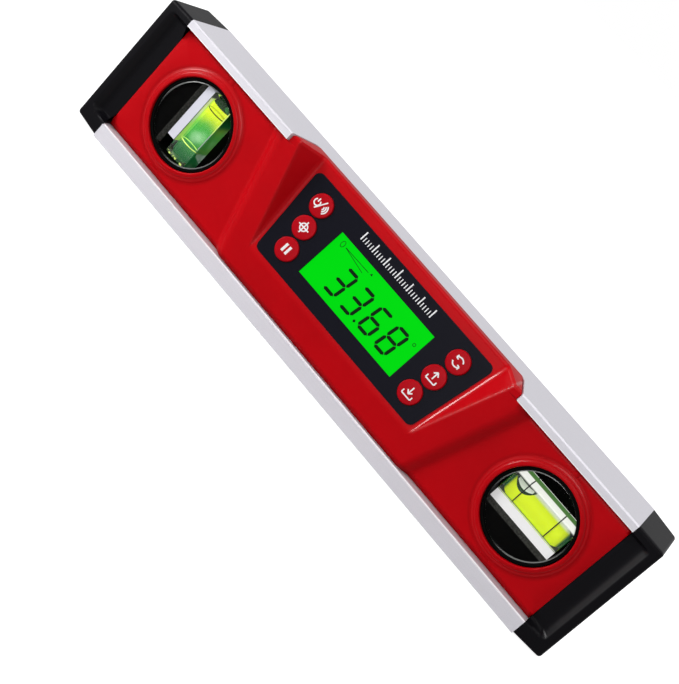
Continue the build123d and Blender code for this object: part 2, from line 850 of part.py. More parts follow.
def end_cap():
    """The right-hand cap: a drafted block with dished faces, and tongues that plug the housings."""
    far = half_length + cap_length
    far_low = cap_foot_lift + cap_draft_height
    body = flat_sided(
        cap_section(half_length, 0, cap_foot_lift, frame_height),
        cap_section(far, cap_draft_depth, far_low, frame_height - cap_draft_height),
    )
    along = [e for e in body.edges() if e.bounding_box().size.X > cap_length / 2]
    body = fillet(along, cap_edge_round)
    far_face = body.faces().sort_by(Axis.X)[-1]
    body = fillet(far_face.edges(), cap_edge_round)
    for face in (-1, 1):
        body -= cap_dish(face)
    inner_low = housing_low + wall + fit
    inner_high = housing_high - wall - fit
    spans = [
        (front + vial_panel_setback + wall + fit, web_front - fit),
        (web_back + fit, rear_face - wall - fit),
    ]
    for near, deep in spans:
        tongue = box_between(
            (half_length - cap_tongue_length, near, inner_low), (half_length + fit, deep, inner_high)
        )
        hollow = box_between(
            (half_length - cap_tongue_length - fit, near + wall, inner_low + wall),
            (half_length + cap_hollow, deep - wall, inner_high - wall),
        )
        body = body + tongue - hollow
    return body


def write(name, shape):
    """Writes one node: a single solid, or a group of like solids."""
    solids = shape if isinstance(shape, list) else [shape]
    pieces = [piece for part in solids for piece in part.solids()]
    node = Compound(children=pieces) if len(pieces) > 1 else pieces[0]
    export_step(node, os.path.join("parts", name + ".step"))


def place_vial(name, where):
    """Writes the pieces of one vial at its place in the level."""
    pieces = {
        "cup": vial_cup(),
        "lens": vial_lens(),
        "reflector": vial_reflector(),
        "block": vial_block(),
        "plug": vial_plug(),
        "fluid": vial_fluid(),
        "bubble": bubble(0),
    }
    for piece, shape in pieces.items():
        write(f"{name}_vial_{piece}", where * shape)


def main():
    os.makedirs("parts", exist_ok=True)
    cap = end_cap()
    write("aluminium_frame", aluminium_frame())
    write("base_magnets", magnets(0))
    write("front_housing", front_housing())
    write("rear_housing", rear_housing())
    write("right_end_cap", cap)
    write("left_end_cap", mirror(cap, about=Plane.YZ))
    write("housing_screws", housing_screws())
    write("display_panel", display_panel())
    write("lcd_glass", lcd_glass())
    write("lcd_backlight", lcd_backlight())
    write("lcd_connector", lcd_connector())
    write("circuit_board", circuit_board())
    write("board_screws", board_screws())
    write("key_switches", key_switches())
    names = ["hold", "reference", "power", "store", "recall", "mode"]
    for name, (x, v) in zip(names, key_places()):
        write(f"{name}_button", key(x, v))
    write("tilt_sensor", board_part(sensor_size, sensor_size, sensor_height, 0, display_middle))
    controller_x = display_width / 2 - controller_size
    controller = board_part(controller_size, controller_size, controller_height, controller_x, display_low)
    write("controller_chip", controller)
    write("buzzer", buzzer())
    write("battery_door", battery_door())
    write("upper_battery", battery_cell(1))
    write("lower_battery", battery_cell(-1))
    write("battery_bridge", battery_bridge())
    write("battery_contacts", battery_contacts())
    write("battery_leads", battery_leads())
    place_vial("level", Pos(vial_x, 0, housing_middle))
    place_vial("plumb", Pos(-vial_x, 0, housing_middle) * Rot(0, 90, 0))


main()
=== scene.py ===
import json
import math

import bmesh
import bpy
import numpy as np
from mathutils import Matrix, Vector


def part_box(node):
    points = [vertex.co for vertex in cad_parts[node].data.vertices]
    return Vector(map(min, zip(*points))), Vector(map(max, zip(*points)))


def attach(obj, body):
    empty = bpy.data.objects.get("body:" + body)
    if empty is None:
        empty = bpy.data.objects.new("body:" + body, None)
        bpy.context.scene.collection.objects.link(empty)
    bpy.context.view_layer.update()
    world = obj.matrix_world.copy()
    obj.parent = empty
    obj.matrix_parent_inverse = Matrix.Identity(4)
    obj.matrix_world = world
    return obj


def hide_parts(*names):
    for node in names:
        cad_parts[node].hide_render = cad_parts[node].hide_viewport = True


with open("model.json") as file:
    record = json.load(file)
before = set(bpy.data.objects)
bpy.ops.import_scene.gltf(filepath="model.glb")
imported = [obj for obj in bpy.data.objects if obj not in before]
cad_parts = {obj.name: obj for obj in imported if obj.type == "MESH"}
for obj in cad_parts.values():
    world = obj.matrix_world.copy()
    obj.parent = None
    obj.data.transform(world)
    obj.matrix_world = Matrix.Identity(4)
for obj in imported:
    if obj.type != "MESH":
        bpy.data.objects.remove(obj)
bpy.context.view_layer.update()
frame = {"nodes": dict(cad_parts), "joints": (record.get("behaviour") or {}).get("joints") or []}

bl_info = {
    "name": "Digital spirit level",
    "version": (1, 0, 0),
    "blender": (4, 5, 0),
    "location": "3D View > Sidebar > Spirit level",
    "description": "Builds the visible pieces and finishes of a digital spirit level round its solids",
    "category": "Object",
}

MM = 0.001
KEYS = ("hold", "reference", "power", "store", "recall", "mode")


def length(name, description, millimetres):
    """A length that a user may change, given here in millimetres."""
    return bpy.props.FloatProperty(
        name=name, description=description, default=millimetres * MM, unit="LENGTH", precision=5
    )


def colour(name, description, red, green, blue):
    """A colour that a user may change, given here as it looks on a screen, from 0 to 255."""
    shown = np.array((red, green, blue)) / 255
    linear = np.where(shown <= 0.04045, shown / 12.92, ((shown + 0.055) / 1.055) ** 2.4)
    rgba = (*linear.tolist(), 1.0)
    return bpy.props.FloatVectorProperty(
        name=name, description=description, default=rgba, subtype="COLOR", size=4, min=0, max=1
    )


def angle(name, description, degrees):
    """An angle that a user may change, given here in degrees."""
    return bpy.props.FloatProperty(
        name=name, description=description, default=math.radians(degrees), subtype="ANGLE"
    )


def number(name, description, value):
    """A plain number that a user may change."""
    return bpy.props.FloatProperty(name=name, description=description, default=value)


# Settings


class LevelColours(bpy.types.PropertyGroup):
    """The colours of the level's finishes."""

    housing: colour("Housing", "Red of the moulded housings", 184, 3, 14)
    aluminium: colour("Aluminium", "Anodised extrusion", 222, 220, 227)
    cap: colour("End caps", "Black of the end caps", 8, 7, 11)
    cup: colour("Vial cups", "Black of the vial cups", 9, 9, 9)
    # Painted sheen: the ledge's paler colour stands in for the light it reflects.
    ledge: colour("Ledges", "Paler ledge beside a white strip", 58, 58, 55)
    panel: colour("Display panel", "Dark film round the display", 12, 12, 22)
    key: colour("Keys", "Red of the keys", 172, 4, 20)
    print: colour("Print", "White of the printed marks", 238, 238, 240)
    display: colour("Display", "Green of the lit display", 0, 220, 18)
    segment: colour("Segments", "Dark of the display's segments", 3, 34, 8)
    fluid: colour("Fluid", "Lit vial fluid", 216, 236, 16)
    fluid_mid: colour("Middle fluid", "Vial fluid in half shade", 62, 168, 58)
    fluid_deep: colour("Deep fluid", "Vial fluid in shade", 20, 92, 46)
    # Also painted shade: the bubbles' outlines and the dark foot and far side of the upright block.
    fluid_edge: colour("Fluid edge", "Dark outline of a bubble", 10, 52, 12)
    line: colour("Lines", "Lines round the vials", 4, 9, 2)
    # Painted light: the upright vial's pale line, and the pale edge, glints and strip face beside its block.
    line_lit: colour("Lit line", "Line that shows pale against dark fluid", 214, 240, 120)
    reflector: colour("Reflector", "White strip under the level vial", 240, 240, 240)
    # Painted shade: a greyer copy of the strip's white, for the upright vial.
    reflector_shade: colour("Grey reflector", "Pale strip beside the upright vial", 205, 205, 216)
    painted_glow: colour("Haze", "Pale glow in the upright vial's fluid", 190, 232, 190)
    # Painted shade: the dark green towards the back of the level block's upper side.
    back_shade: colour("Stripe", "Dark green of the level block's upper side towards its back", 70, 112, 58)
    # Painted shade: the dark line where a strip meets its block.
    bond: colour("Bond", "Line of the bond between a strip and its block", 58, 64, 62)


class LevelStage(bpy.types.PropertyGroup):
    """The stage: floor, light and camera."""

    lens: number("Lens", "Focal length of the camera in millimetres", 71.75)
    key_power: number("Key light", "Power of the main lamp, on the left, in watts", 3.7)
    fill_power: number("Fill light", "Power of the second lamp, in front, in watts", 2.4)
    back_power: number("Back light", "Power of the lamp behind and above the level in watts", 1.0)
    rear_power: number("Rear light", "Power of the low lamp behind the level in watts", 2.2)
    sun_power: number("Overhead light", "Strength of the even light from above", 1.05)
    sun_spread: angle("Overhead spread", "Width of the light from above", 25.0)
    ambient: number("Ambient", "Strength of the even light from all round", 0.2)
    sheen: number("Sheen", "Strength of the surroundings in reflections", 0.6)
    floor_glow: number("Floor glow", "How much of the floor's white is not shaded", 0.92)
    floor_drop: length("Floor drop", "How far the floor lies under the level", 0.2)


class HousingSizes(bpy.types.PropertyGroup):
    """The front housing's sizes."""

    panel_depth: length("Vial panel depth", "From the frame's front to the vial panels", 3.5)
    pod_depth: length("Pod depth", "From the frame's front to the face of the pod", 0.9)
    pod_width: length("Pod width", "Width of the pod's face at its middle height", 115.0)
    flank_lean: angle("Flank lean", "How far the pod's flanks lean outwards going up", 16.5)
    flank_run: length("Flank run", "How far a flank spreads from the pod's face to the panel", 3.4)
    flank_margin: length("Flank margin", "Flat strip of the vial panel along a flank", 2.2)
    pocket_foot: length("Pocket foot", "Height at which the sloping pocket starts", 17.8)
    pocket_width: length("Pocket width", "Width of the pocket at its foot", 87.8)
    floor_spread: angle("Floor spread", "Spread of the pocket's floor going up", 8.2)
    ridge_spread: angle("Ridge spread", "Spread of the ridges beside the pocket going up", 17.6)
    floor_rim: length("Floor rim", "Width of the pocket's floor that carries the panel's edge", 3.2)
    head_front: length("Head front", "Half the width of the head at the face of the pod", 60.45)
    head_back: length("Head back", "Half the width of the head at the web", 55.6)
    head_gap: length("Head gap", "Rise from the flange's inner face to the head's full sides", 0.2)
    web_depth: length("Web depth", "From the frame's front to the back of the housing", 15.18)
    flank_crown: length("Flank crown", "Rounding of the flanks' upper edges", 2.0)
    flank_soft: length("Flank softness", "Rounding at the foot of the flanks", 1.0)
    ridge_soft: length("Ridge softness", "Rounding of the ridges beside the pocket", 0.7)
    hollow_soft: length("Hollow softness", "Rounding between the pocket's floor and walls", 1.5)
    foot_soft: length("Foot softness", "Rounding of the crease at the pocket's foot", 1.2)
    edge_roll: length("Edge roll", "How far the housing's outer edges roll back", 1.1)
    edge_width: length("Edge width", "Width of the rolled edges beside the rail and the flange", 2.6)
    skirt: length("Skirt", "How far the housing's edges run back", 6.0)
    boss_top: length("Boss top", "Radius of the outer edge of the top of a window's ring", 18.9)
    boss_shelf: length("Boss shelf", "Radius of the edge of the step round a window's ring", 20.0)
    boss_base: length("Boss base", "Radius at the foot of a window's ring", 20.9)
    boss_height: length("Boss height", "Height of a window's ring over the panel", 1.4)
    boss_soft: length("Boss softness", "Rounding of a window's ring", 0.35)
    lip_soft: length("Lip softness", "Rounding of the edge round a window", 0.8)
    window_gap: length("Window gap", "Gap between the edge of a window and the black ring", 0.1)
    wall: length("Wall", "Thickness of the moulding", 1.2)


class ScrewSizes(bpy.types.PropertyGroup):
    """The housing screws' sizes."""

    head: length("Head", "Radius of the head", 2.3)
    head_height: length("Head height", "Height of the head", 1.5)
    head_round: length("Head rounding", "Rounding of the head's edge", 0.3)
    shank: length("Shank", "Radius of the shank", 1.25)
    cross: length("Cross", "Length of the bars of the cross in the head", 2.7)
    bar: length("Bar", "Width of the bars of the cross in the head", 0.75)
    cross_depth: length("Cross depth", "Depth of the cross in the head", 0.9)
    cross_draft: number("Cross draft", "Size of the cross at its bottom, as a share of its face", 0.86)


class CapSizes(bpy.types.PropertyGroup):
    """The end caps' sizes."""

    edge_round: length("Edge rounding", "Rounding of the cap's edges", 1.2)
    draft_depth: length("Depth draft", "How much the front and the back draw in towards the end", 1.4)
    draft_height: length("Height draft", "How much the top and the foot draw in towards the end", 0.6)
    rim: length("Rim", "Width of the rim outside the dish", 2.9)
    dish_slope: length("Dish slope", "Width of the dish's sloping wall towards the end", 4.2)
    dish_side: length("Dish side", "Width of the dish's walls along the rail and the flange", 2.0)
    front_floor: length("Front floor", "From the frame's front to the floor of the front dish", 3.5)
    back_floor: length("Back floor", "From the frame's back to the floor of the rear dish", 1.6)


class DisplaySizes(bpy.types.PropertyGroup):
    """The display's figures and the keys."""

    digit_height: length("Digit height", "Height of a figure between the middles of its bars", 10.7)
    digit_width: length("Digit width", "Width of a figure between the middles of its bars", 5.2)
    digit_rise: length("Digit rise", "Place of the middles of the figures up the panel", 14.8)
    digit_slant: number("Digit slant", "Sideways lean of the figures for each unit of height", 0.12)
    bar_width: length("Bar width", "Width of a figure's bars", 1.3)
    bar_gap: length("Bar gap", "Gap between neighbouring bars of a figure", 0.22)
    thin_line: length("Thin line", "Width of the display's thin lines", 0.22)
    glass_corner: length("Glass corner", "Rounding of the corners of the display's glass", 0.6)
    glass_edge: length("Glass edge", "Rounding of the edges of the display's glass", 0.15)
    ink_lift: length("Ink lift", "How far printed marks stand over their surface", 0.015)
    key_dome: length("Key dome", "Height of a key's crown", 0.22)
    key_edge: length("Key edge", "Rounding of a key's edge", 0.5)
    key_foot: length("Key foot", "How far a key reaches behind the panel", 0.6)
    mark_width: length("Mark width", "Width of the lines of the keys' marks", 0.5)
    scale_width: length("Scale width", "Width of the printed scale over the display", 37.0)
    scale_foot: length("Scale foot", "Place of the printed scale up the panel", 30.0)
    scale_height: length("Scale height", "Length of every fifth line of the scale", 3.6)
    scale_bold: length("Scale bold", "Width of every fifth line of the scale", 0.5)
    scale_fine: length("Scale fine", "Width of the other lines of the scale", 0.36)


class VialSizes(bpy.types.PropertyGroup):
    """The vials' sizes."""

    ring_outer: length("Ring outside", "Radius of the outside of the black ring", 17.2)
    ring_inner: length("Ring inside", "Radius of the window inside the black ring", 15.9)
    ring_depth: length("Ring depth", "From the frame's front to the black ring", 3.1)
    ring_round: length("Ring rounding", "Rounding of the black ring's edges", 0.4)
    lens_front: length("Window front", "From the black ring back to the window's front", 0.3)
    lens_back: length("Window back", "From the black ring back to the window's back", 1.2)
    seat: length("Window seat", "From the black ring back to the seat behind the window", 1.25)
    shoulder: length("Cup shoulder", "From the solid window back to the cup's outer shoulder", 0.7)
    cup_floor: length("Cup floor", "Thickness of the cup's floor", 1.2)
    # Depth at which the painted glow on the level block's upper side gives way to the painted dark green
    # shade.
    glow_band_depth: length("Frost", "Depth of the ground part of the block's upper side", 6.2)
    block_front: length("Block front", "From the frame's front to the front of the clear block", 5.4)
    block_foot: length("Block foot", "From the window's middle down to the block's underside", 2.4)
    block_depth: length("Block depth", "Depth of the upright vial's block", 9.1)
    block_top: length("Block top", "From the window's middle up to the block's upper side", 7.6)
    strip: length("Strip", "Thickness of the white strip under the block", 3.65)
    ledge: length("Ledge", "From the strip down to the front edge of the ledge that carries it", 1.8)
    bore: length("Bore", "Radius of the fluid", 4.1)
    bore_rise: length("Bore rise", "Height of the fluid's axis over the window's middle", 1.85)
    bore_shift: length("Bore shift", "How much further the upright vial's bore is from its strip", 0.5)
    bore_wall: length("Bore wall", "Thickness of the block in front of the bore and at its ends", 0.4)
    bore_waist: length("Bore waist", "How much wider the bore is in its middle", 0.12)
    bore_end: length("Bore end", "Rounding of the fluid's ends", 3.0)
    line_place: length("Line place", "From the middle of the vial to each line", 7.8)
    line_lift: length("Line lift", "How much higher the upright vial's lines sit", 0.8)
    line_width: length("Line width", "Width of a line round the bore", 0.42)
    line_thick: length("Line thickness", "Thickness of a line round the bore", 0.16)
    line_shift: length("Line shift", "How far the upright vial's lines stand in front of its bore", 0.2)
    bubble_lift: length("Bubble lift", "How far the bubbles stand over the fluid, so that they show", 0.06)
    bubble_length: length("Bubble length", "Length of the level vial's bubble", 9.2)
    bubble_end: length("End bubble length", "Length of the upright vial's bubble", 2.6)
    bubble_spread: angle("Bubble spread", "How far the bubble reaches down each side of the bore", 80.0)
    bubble_sag: length("Bubble sag", "Sag of the bubble's underside", 0.5)
    block_round: length("Block rounding", "Rounding of the clear block's edges", 0.4)
    bond: length("Bond", "How far the white strip is sunk in the block", 0.05)
    strip_cut: length("Strip cut", "How much shorter the upright vial's strip is at its foot", 4.9)


# Places of the solids


def middle(node):
    """The middle of a CAD node's box."""
    low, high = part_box(node)
    return (low + high) / 2


def frame_front():
    """Where the frame's front lies along y."""
    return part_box("aluminium_frame")[0].y


def inner_faces():
    """The heights of the rail's and the flange's inner faces."""
    low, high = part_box("rear_housing")
    return low.z, high.z


# Shader maths


class Signal:
    """An output socket of a shader node. Arithmetic on it adds Math nodes."""

    def __init__(self, finish, socket):
        self.finish = finish
        self.socket = socket

    def math(self, operation, *values):
        """A Math node on values or signals."""
        return self.finish.node("ShaderNodeMath", {"operation": operation}, dict(enumerate(values)))

    def __add__(self, other):
        return self.math("ADD", self, other)

    def __sub__(self, other):
        return self.math("SUBTRACT", self, other)

    def __rsub__(self, other):
        return self.math("SUBTRACT", other, self)

    def __mul__(self, other):
        return self.math("MULTIPLY", self, other)

    def __truediv__(self, other):
        return self.math("DIVIDE", self, other)

    __radd__ = __add__
    __rmul__ = __mul__

    def __abs__(self):
        return self.math("ABSOLUTE", self)

    def root(self):
        """Its square root."""
        return self.math("SQRT", self)

    def at_most(self, limit):
        """Its value, cut off at a limit."""
        return self.math("MINIMUM", self, limit)

    def step(self, low, high):
        """A soft step from 0 at low to 1 at high."""
        sockets = {"Value": self, "From Min": low, "From Max": high}
        return self.finish.node("ShaderNodeMapRange", {"interpolation_type": "SMOOTHSTEP"}, sockets)

    def between(self, start, full, fade, end):
        """Rises softly from 0 at start to 1 at full, and falls back from fade to 0 at end."""
        return self.step(start, full) - self.step(fade, end)

    def near(self, place, inner, outer):
        """1 within an inner distance of a place, falling softly to 0 at an outer distance."""
        return 1 - abs(self - place).step(inner, outer)


def distance(x, z):
    """The length of a line that runs x across and z up."""
    return (x * x + z * z).root()


def spaced(sockets):
    """Names of sockets with spaces, from the names of arguments."""
    return {name.replace("_", " "): value for name, value in sockets.items()}


class Nodes:
    """The shader nodes of a material or a world, with its output node."""

    def __init__(self, owner, output):
        owner.use_nodes = True
        self.tree = owner.node_tree
        self.tree.nodes.clear()
        self.output = self.tree.nodes.new(output)

    def show(self, shader):
        """Sends a shader to the output."""
        self.tree.links.new(shader.socket, self.output.inputs["Surface"])

    def fill(self, node, sockets):
        """Sets or links a node's input sockets."""
        for key, value in sockets.items():
            if isinstance(value, Signal):
                self.tree.links.new(value.socket, node.inputs[key])
            else:
                node.inputs[key].default_value = value

    def node(self, kind, settings=None, sockets=None, output=0):
        """Makes any node: its settings first, then the values or links of its sockets."""
        made = self.tree.nodes.new(kind)
        for key, value in (settings or {}).items():
            setattr(made, key, value)
        self.fill(made, sockets or {})
        return Signal(self, made.outputs[output])

    def ray(self, kind):
        """1 for rays of a kind and 0 for others."""
        return self.node("ShaderNodeLightPath", output=f"Is {kind} Ray")


class Finish(Nodes):
    """A material round one Principled shader."""

    def __init__(self, name, **constants):
        self.material = bpy.data.materials.new(name)
        super().__init__(self.material, "ShaderNodeOutputMaterial")
        self.shader = self.tree.nodes.new("ShaderNodeBsdfPrincipled")
        self.surface = Signal(self, self.shader.outputs[0])
        self.show(self.surface)
        self.set(**constants)

    def place(self, scale=(1, 1, 1)):
        """The point on the surface in the level's own frame, stretched along each axis."""
        point = self.node("ShaderNodeTexCoord", output="Object")
        return self.node("ShaderNodeMapping", {}, {"Vector": point, "Scale": scale})

    def axis(self, name):
        """One coordinate of the point on the surface, in metres."""
        return self.node("ShaderNodeSeparateXYZ", {}, {0: self.place()}, name)

    def from_middle(self, node, name):
        """One coordinate of the point on the surface, measured from the middle of a CAD node."""
        return self.axis(name) - getattr(middle(node), name.lower())

    def depth(self):
        """Depth of the point on the surface behind the frame's front."""
        return self.axis("Y") - frame_front()

    def noise(self, scale, detail=2, stretch=(1, 1, 1)):
        """Cloudy variation from 0 to 1, with the number of its bumps in a metre."""
        sockets = {"Vector": self.place(stretch), "Scale": scale, "Detail": detail}
        return self.node("ShaderNodeTexNoise", {}, sockets)

    def mix(self, factor, first, second):
        """A colour between two colours."""
        return self.node("ShaderNodeMix", {"data_type": "RGBA"}, {0: factor, 6: first, 7: second}, 2)

    def varied(self, factor, rgba, first, second):
        """A colour that varies between two shades of itself."""
        return self.mix(factor, shaded(rgba, first), shaded(rgba, second))

    def set(self, **sockets):
        """Sets or links sockets of the Principled shader."""
        self.fill(self.shader, spaced(sockets))
        return self

    def glow(self, shade, **sockets):
        """Gives the surface a colour in which it also glows."""
        return self.set(Base_Color=shade, Emission_Color=shade, **sockets)

    def blend(self, factor, shader):
        """Mixes another shader into the surface."""
        self.surface = self.node("ShaderNodeMixShader", {}, {0: factor, 1: self.surface, 2: shader})
        self.show(self.surface)
        return self

    def cover(self, factor, **sockets):
        """Mixes a second Principled shader into the surface."""
        return self.blend(factor, self.node("ShaderNodeBsdfPrincipled", {}, spaced(sockets)))

    def let_light_in(self):
        """Lets light from lamps and from the surroundings reach what is inside."""
        clear = self.node("ShaderNodeBsdfTransparent")
        return self.blend(self.ray("Shadow") + self.ray("Diffuse"), clear)

    def relief(self, height, depth, strength):
        """A fine relief of a depth in metres, from a height that varies from 0 to 1."""
        sockets = {"Height": height, "Distance": depth, "Strength": strength}
        return self.set(Normal=self.node("ShaderNodeBump", {}, sockets))


def shaded(rgba, factor):
    """A colour made darker or lighter by a factor."""
    return (*(min(channel * factor, 1.0) for channel in rgba[:3]), 1.0)


def palette():
    """The colours that the user has set."""
    return bpy.context.scene.level_colours


made_looks = {}


def look(maker, *values):
    """The material that a maker gives, made once."""
    key = (maker, *values)
    if key not in made_looks:
        made_looks[key] = maker(*values).material
    return made_looks[key]


# Finishes of the housing, the caps and the frame


def moulded(name, rgba, roughness, specular, grain):
    """Moulded plastic: a fine eroded grain, slow changes of shade and uneven gloss."""
    finish = Finish(name, Specular_IOR_Level=specular)
    slow = finish.noise(38, 3)
    fine = finish.noise(grain)
    tone = slow.step(0.3, 0.7) * 0.75 + fine * 0.25
    finish.set(
        Base_Color=finish.varied(tone, rgba, 0.93, 1.07),
        Roughness=roughness - 0.05 + slow * 0.06 + fine * 0.06,
    )
    return finish.relief(fine, 0.02 * MM, 0.35)


def red_housing():
    """Red moulding: polished along the edges of each window's ring and of the pocket, and darkened by
    painted shade in the creases beside the rail, the flange and the rings."""
    sizes = bpy.context.scene.level_housing
    finish = moulded("red_moulding", palette().housing, 0.34, 0.07, 6500)
    tone = Signal(finish, finish.shader.inputs["Base Color"].links[0].from_socket)
    across, height = finish.axis("X"), finish.axis("Z")
    out, rise = abs(across), height - sizes.pocket_foot
    window = middle("level_vial_lens")
    radius = distance(out - window.x, height - window.z)
    front = 1 - finish.depth().step(9 * MM, 10 * MM)
    rings, edges = 0, 0
    for edge in (sizes.boss_top + 0.1 * MM, sizes.boss_shelf):
        rings = rings + radius.near(edge, 0.12 * MM, 0.28 * MM)
    for spread in (sizes.ridge_spread, sizes.floor_spread):
        edges = edges + out.near(rise * math.tan(spread) + sizes.pocket_width / 2, 0.3 * MM, 0.9 * MM)
    right = across.step(-1 * MM, 1 * MM) * 0.6 + 0.1
    gloss = rings * 0.25 + edges * rise.step(0, 2 * MM) * right
    # Painted shade: the red is darkened beside the rail, under the flange and round the feet of the rings.
    low, high = inner_faces()
    beside = out.step(sizes.head_front + 1 * MM, sizes.head_front + 2 * MM)
    rail = 1 - height.step(low + 0.2 * MM, low + 2.8 * MM)
    flange = height.step(high - 3.0 * MM, high - 0.4 * MM) * beside
    base = sizes.boss_base
    foot = radius.between(sizes.boss_shelf + 0.1 * MM, base, base + 0.3 * MM, base + 1.4 * MM)
    crease = (rail * 0.5 + flange * 0.45 + foot * 0.22) * front
    return finish.set(
        Base_Color=finish.mix(crease, tone, shaded(palette().housing, 0.2)),
        Coat_Weight=gloss * front,
        Coat_Roughness=0.15,
    )


def black_cap():
    """Black moulding, glossier on the sloping wall of each dish, most of all on the right."""
    sizes = bpy.context.scene.level_caps
    finish = moulded("black_cap_moulding", palette().cap, 0.38, 0.08, 5200)
    across = finish.axis("X")
    from_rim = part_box("right_end_cap")[1].x - sizes.rim - abs(across)
    wall = from_rim.between(0.1 * MM, 0.7 * MM, 1.6 * MM, 3.0 * MM)
    low, high = inner_faces()
    inside = finish.axis("Z").between(low + 0.4 * MM, low + 1.6 * MM, high - 1.6 * MM, high - 0.4 * MM)
    right = across.step(-1 * MM, 1 * MM) * 0.42 + 0.08
    return finish.set(Coat_Weight=wall * inside * right, Coat_Roughness=0.36, Coat_IOR=1.5)


def anodised_aluminium():
    """Matte anodised aluminium: the oxide layer scatters part of the light. It has a bright grain, faint
    lines along the extrusion and painted highlights along the front edges of the rail and the flange."""
    finish = Finish("anodised_aluminium", Metallic=0.25, Specular_IOR_Level=0.2)
    grain = finish.noise(3600, 3)
    lines = finish.noise(1500, 2, (0.012, 1, 1))
    tone = grain.step(0.25, 0.75) * 0.6 + lines * 0.4
    # Painted highlight: the front edges of the rail and the flange are made nearly white.
    low, high = (finish.axis("Z").near(face, 0.3 * MM, 0.5 * MM) for face in inner_faces())
    edge_highlight = (low + high) * (1 - finish.depth().step(0.4 * MM, 0.6 * MM))
    shade = finish.varied(tone, palette().aluminium, 0.92, 1.06)
    finish.set(
        Base_Color=finish.mix(edge_highlight * 0.8, shade, (1, 1, 1, 1)),
        Roughness=0.4 + grain * 0.12 + lines * 0.06,
    )
    return finish.relief(grain * 0.7 + lines * 0.3, 0.03 * MM, 0.35)


# Finishes of the display and the keys


def printed_film():
    """Dark printed film with a fine satin texture."""
    finish = Finish("printed_film", Specular_IOR_Level=0.06)
    fine = finish.noise(5200)
    shade = finish.varied(fine.step(0.3, 0.75), palette().panel, 0.85, 1.2)
    finish.set(Base_Color=shade, Roughness=0.34 + finish.noise(60) * 0.1)
    return finish.relief(fine, 0.01 * MM, 0.3)


def key_rubber():
    """Red silicone of the keys."""
    finish = Finish("key_silicone", Specular_IOR_Level=0.06)
    fine = finish.noise(4200)
    finish.set(Base_Color=finish.varied(fine, palette().key, 0.94, 1.06), Roughness=0.32 + fine * 0.1)
    return finish.relief(fine, 0.01 * MM, 0.3)


def white_print():
    """White ink, a little uneven."""
    finish = Finish("white_ink", Specular_IOR_Level=0.2)
    fine = finish.noise(3000)
    shade = finish.varied(fine.step(0.2, 0.8), palette().print, 0.9, 1.0)
    return finish.set(Base_Color=shade, Roughness=0.5 + fine * 0.15)


def lit_display():
    """The lit face of the display: even green light with a faint grain."""
    finish = Finish("lit_display", Base_Color=(0.0, 0.05, 0.0, 1.0), Specular_IOR_Level=0.01)
    fine = finish.noise(2400)
    tone = fine * 0.4 + finish.noise(45) * 0.6
    light = finish.varied(tone, palette().display, 0.94, 1.04)
    return finish.set(Emission_Color=light, Emission_Strength=0.95, Roughness=0.3 + fine * 0.1)


def display_segment(name, tone):
    """A switched part of the display, paler than a figure by a tone."""
    finish = Finish(name, Specular_IOR_Level=0.05)
    fine = finish.noise(2400)
    shade = finish.varied(fine, shaded(palette().segment, tone), 0.8, 1.2)
    return finish.set(Base_Color=shade, Roughness=0.4 + fine * 0.1)


# Finishes of the vials

# The axes along each vial's bore, and over it towards the side that its bubble rises to
ALONG = {"level": "X", "plumb": "Z"}
OVER = {"level": "Z", "plumb": "X"}


def vial_place(finish, name):
    """The point on the surface in a vial's own terms: height over the window's middle and depth behind the
    frame's front."""
    return finish.from_middle(name + "_vial_lens", OVER[name]), finish.depth()


def black_cup(name):
    """Black moulding, made a little paler on the ledge beside the white strip as painted sheen."""
    sizes = bpy.context.scene.level_vials
    finish = moulded(name + "_cup_moulding", palette().cup, 0.3, 0.015, 5200)
    over, depth = vial_place(finish, name)
    top = -sizes.block_foot - sizes.strip
    edge = top - sizes.ledge
    front = sizes.ring_depth + sizes.lens_back
    # Painted sheen: the ledge gets a paler colour in place of the light that it reflects.
    ledge = over.between(edge - 0.3 * MM, edge, top, top + 0.2 * MM)
    ledge = ledge * depth.between(front, front + 0.2 * MM, sizes.block_front, sizes.block_front + 0.4 * MM)
    pale = finish.varied(finish.noise(1500, 3).step(0.3, 0.7), palette().ledge, 0.6, 1.2)
    return finish.set(Base_Color=finish.mix(ledge, palette().cup, pale))


def clear_lens(name):
    """The thin clear window over a vial: seen through, with a painted highlight on its rim on two sides."""
    finish = Finish(name + "_clear_lens", Roughness=0.1, Specular_IOR_Level=0.8)
    x, z = (finish.from_middle(name + "_vial_lens", axis) for axis in "XZ")
    edge = bpy.context.scene.level_vials.ring_inner
    # Painted highlight: the rim is made pale most on the two sides that lie along this direction.
    highlight_x, highlight_z = -0.74, 0.67
    lit = abs(x * highlight_x + z * highlight_z).step(0.45 * edge, 0.95 * edge)
    rim = distance(x, z).step(edge - 0.5 * MM, edge - 0.35 * MM) * (lit * 0.8 + 0.08)
    shade = finish.mix(rim, (0.01, 0.012, 0.01, 1), (0.3, 0.31, 0.3, 1))
    return finish.set(Base_Color=shade, Alpha=rim)


def clear_acrylic(name):
    """Clear acrylic that bends light, with painted light and shade on each vial's block."""
    finish = Finish(name + "_clear_acrylic", Transmission_Weight=1.0, IOR=1.49, Roughness=0.0)
    finish.set(Base_Color=finish.mix(finish.noise(300), (0.94, 0.985, 0.95, 1), (0.98, 1.0, 0.985, 1)))
    if name == "level":
        paint_level_block_light(finish)
    else:
        paint_plumb_block_light(finish)
    return finish.let_light_in()


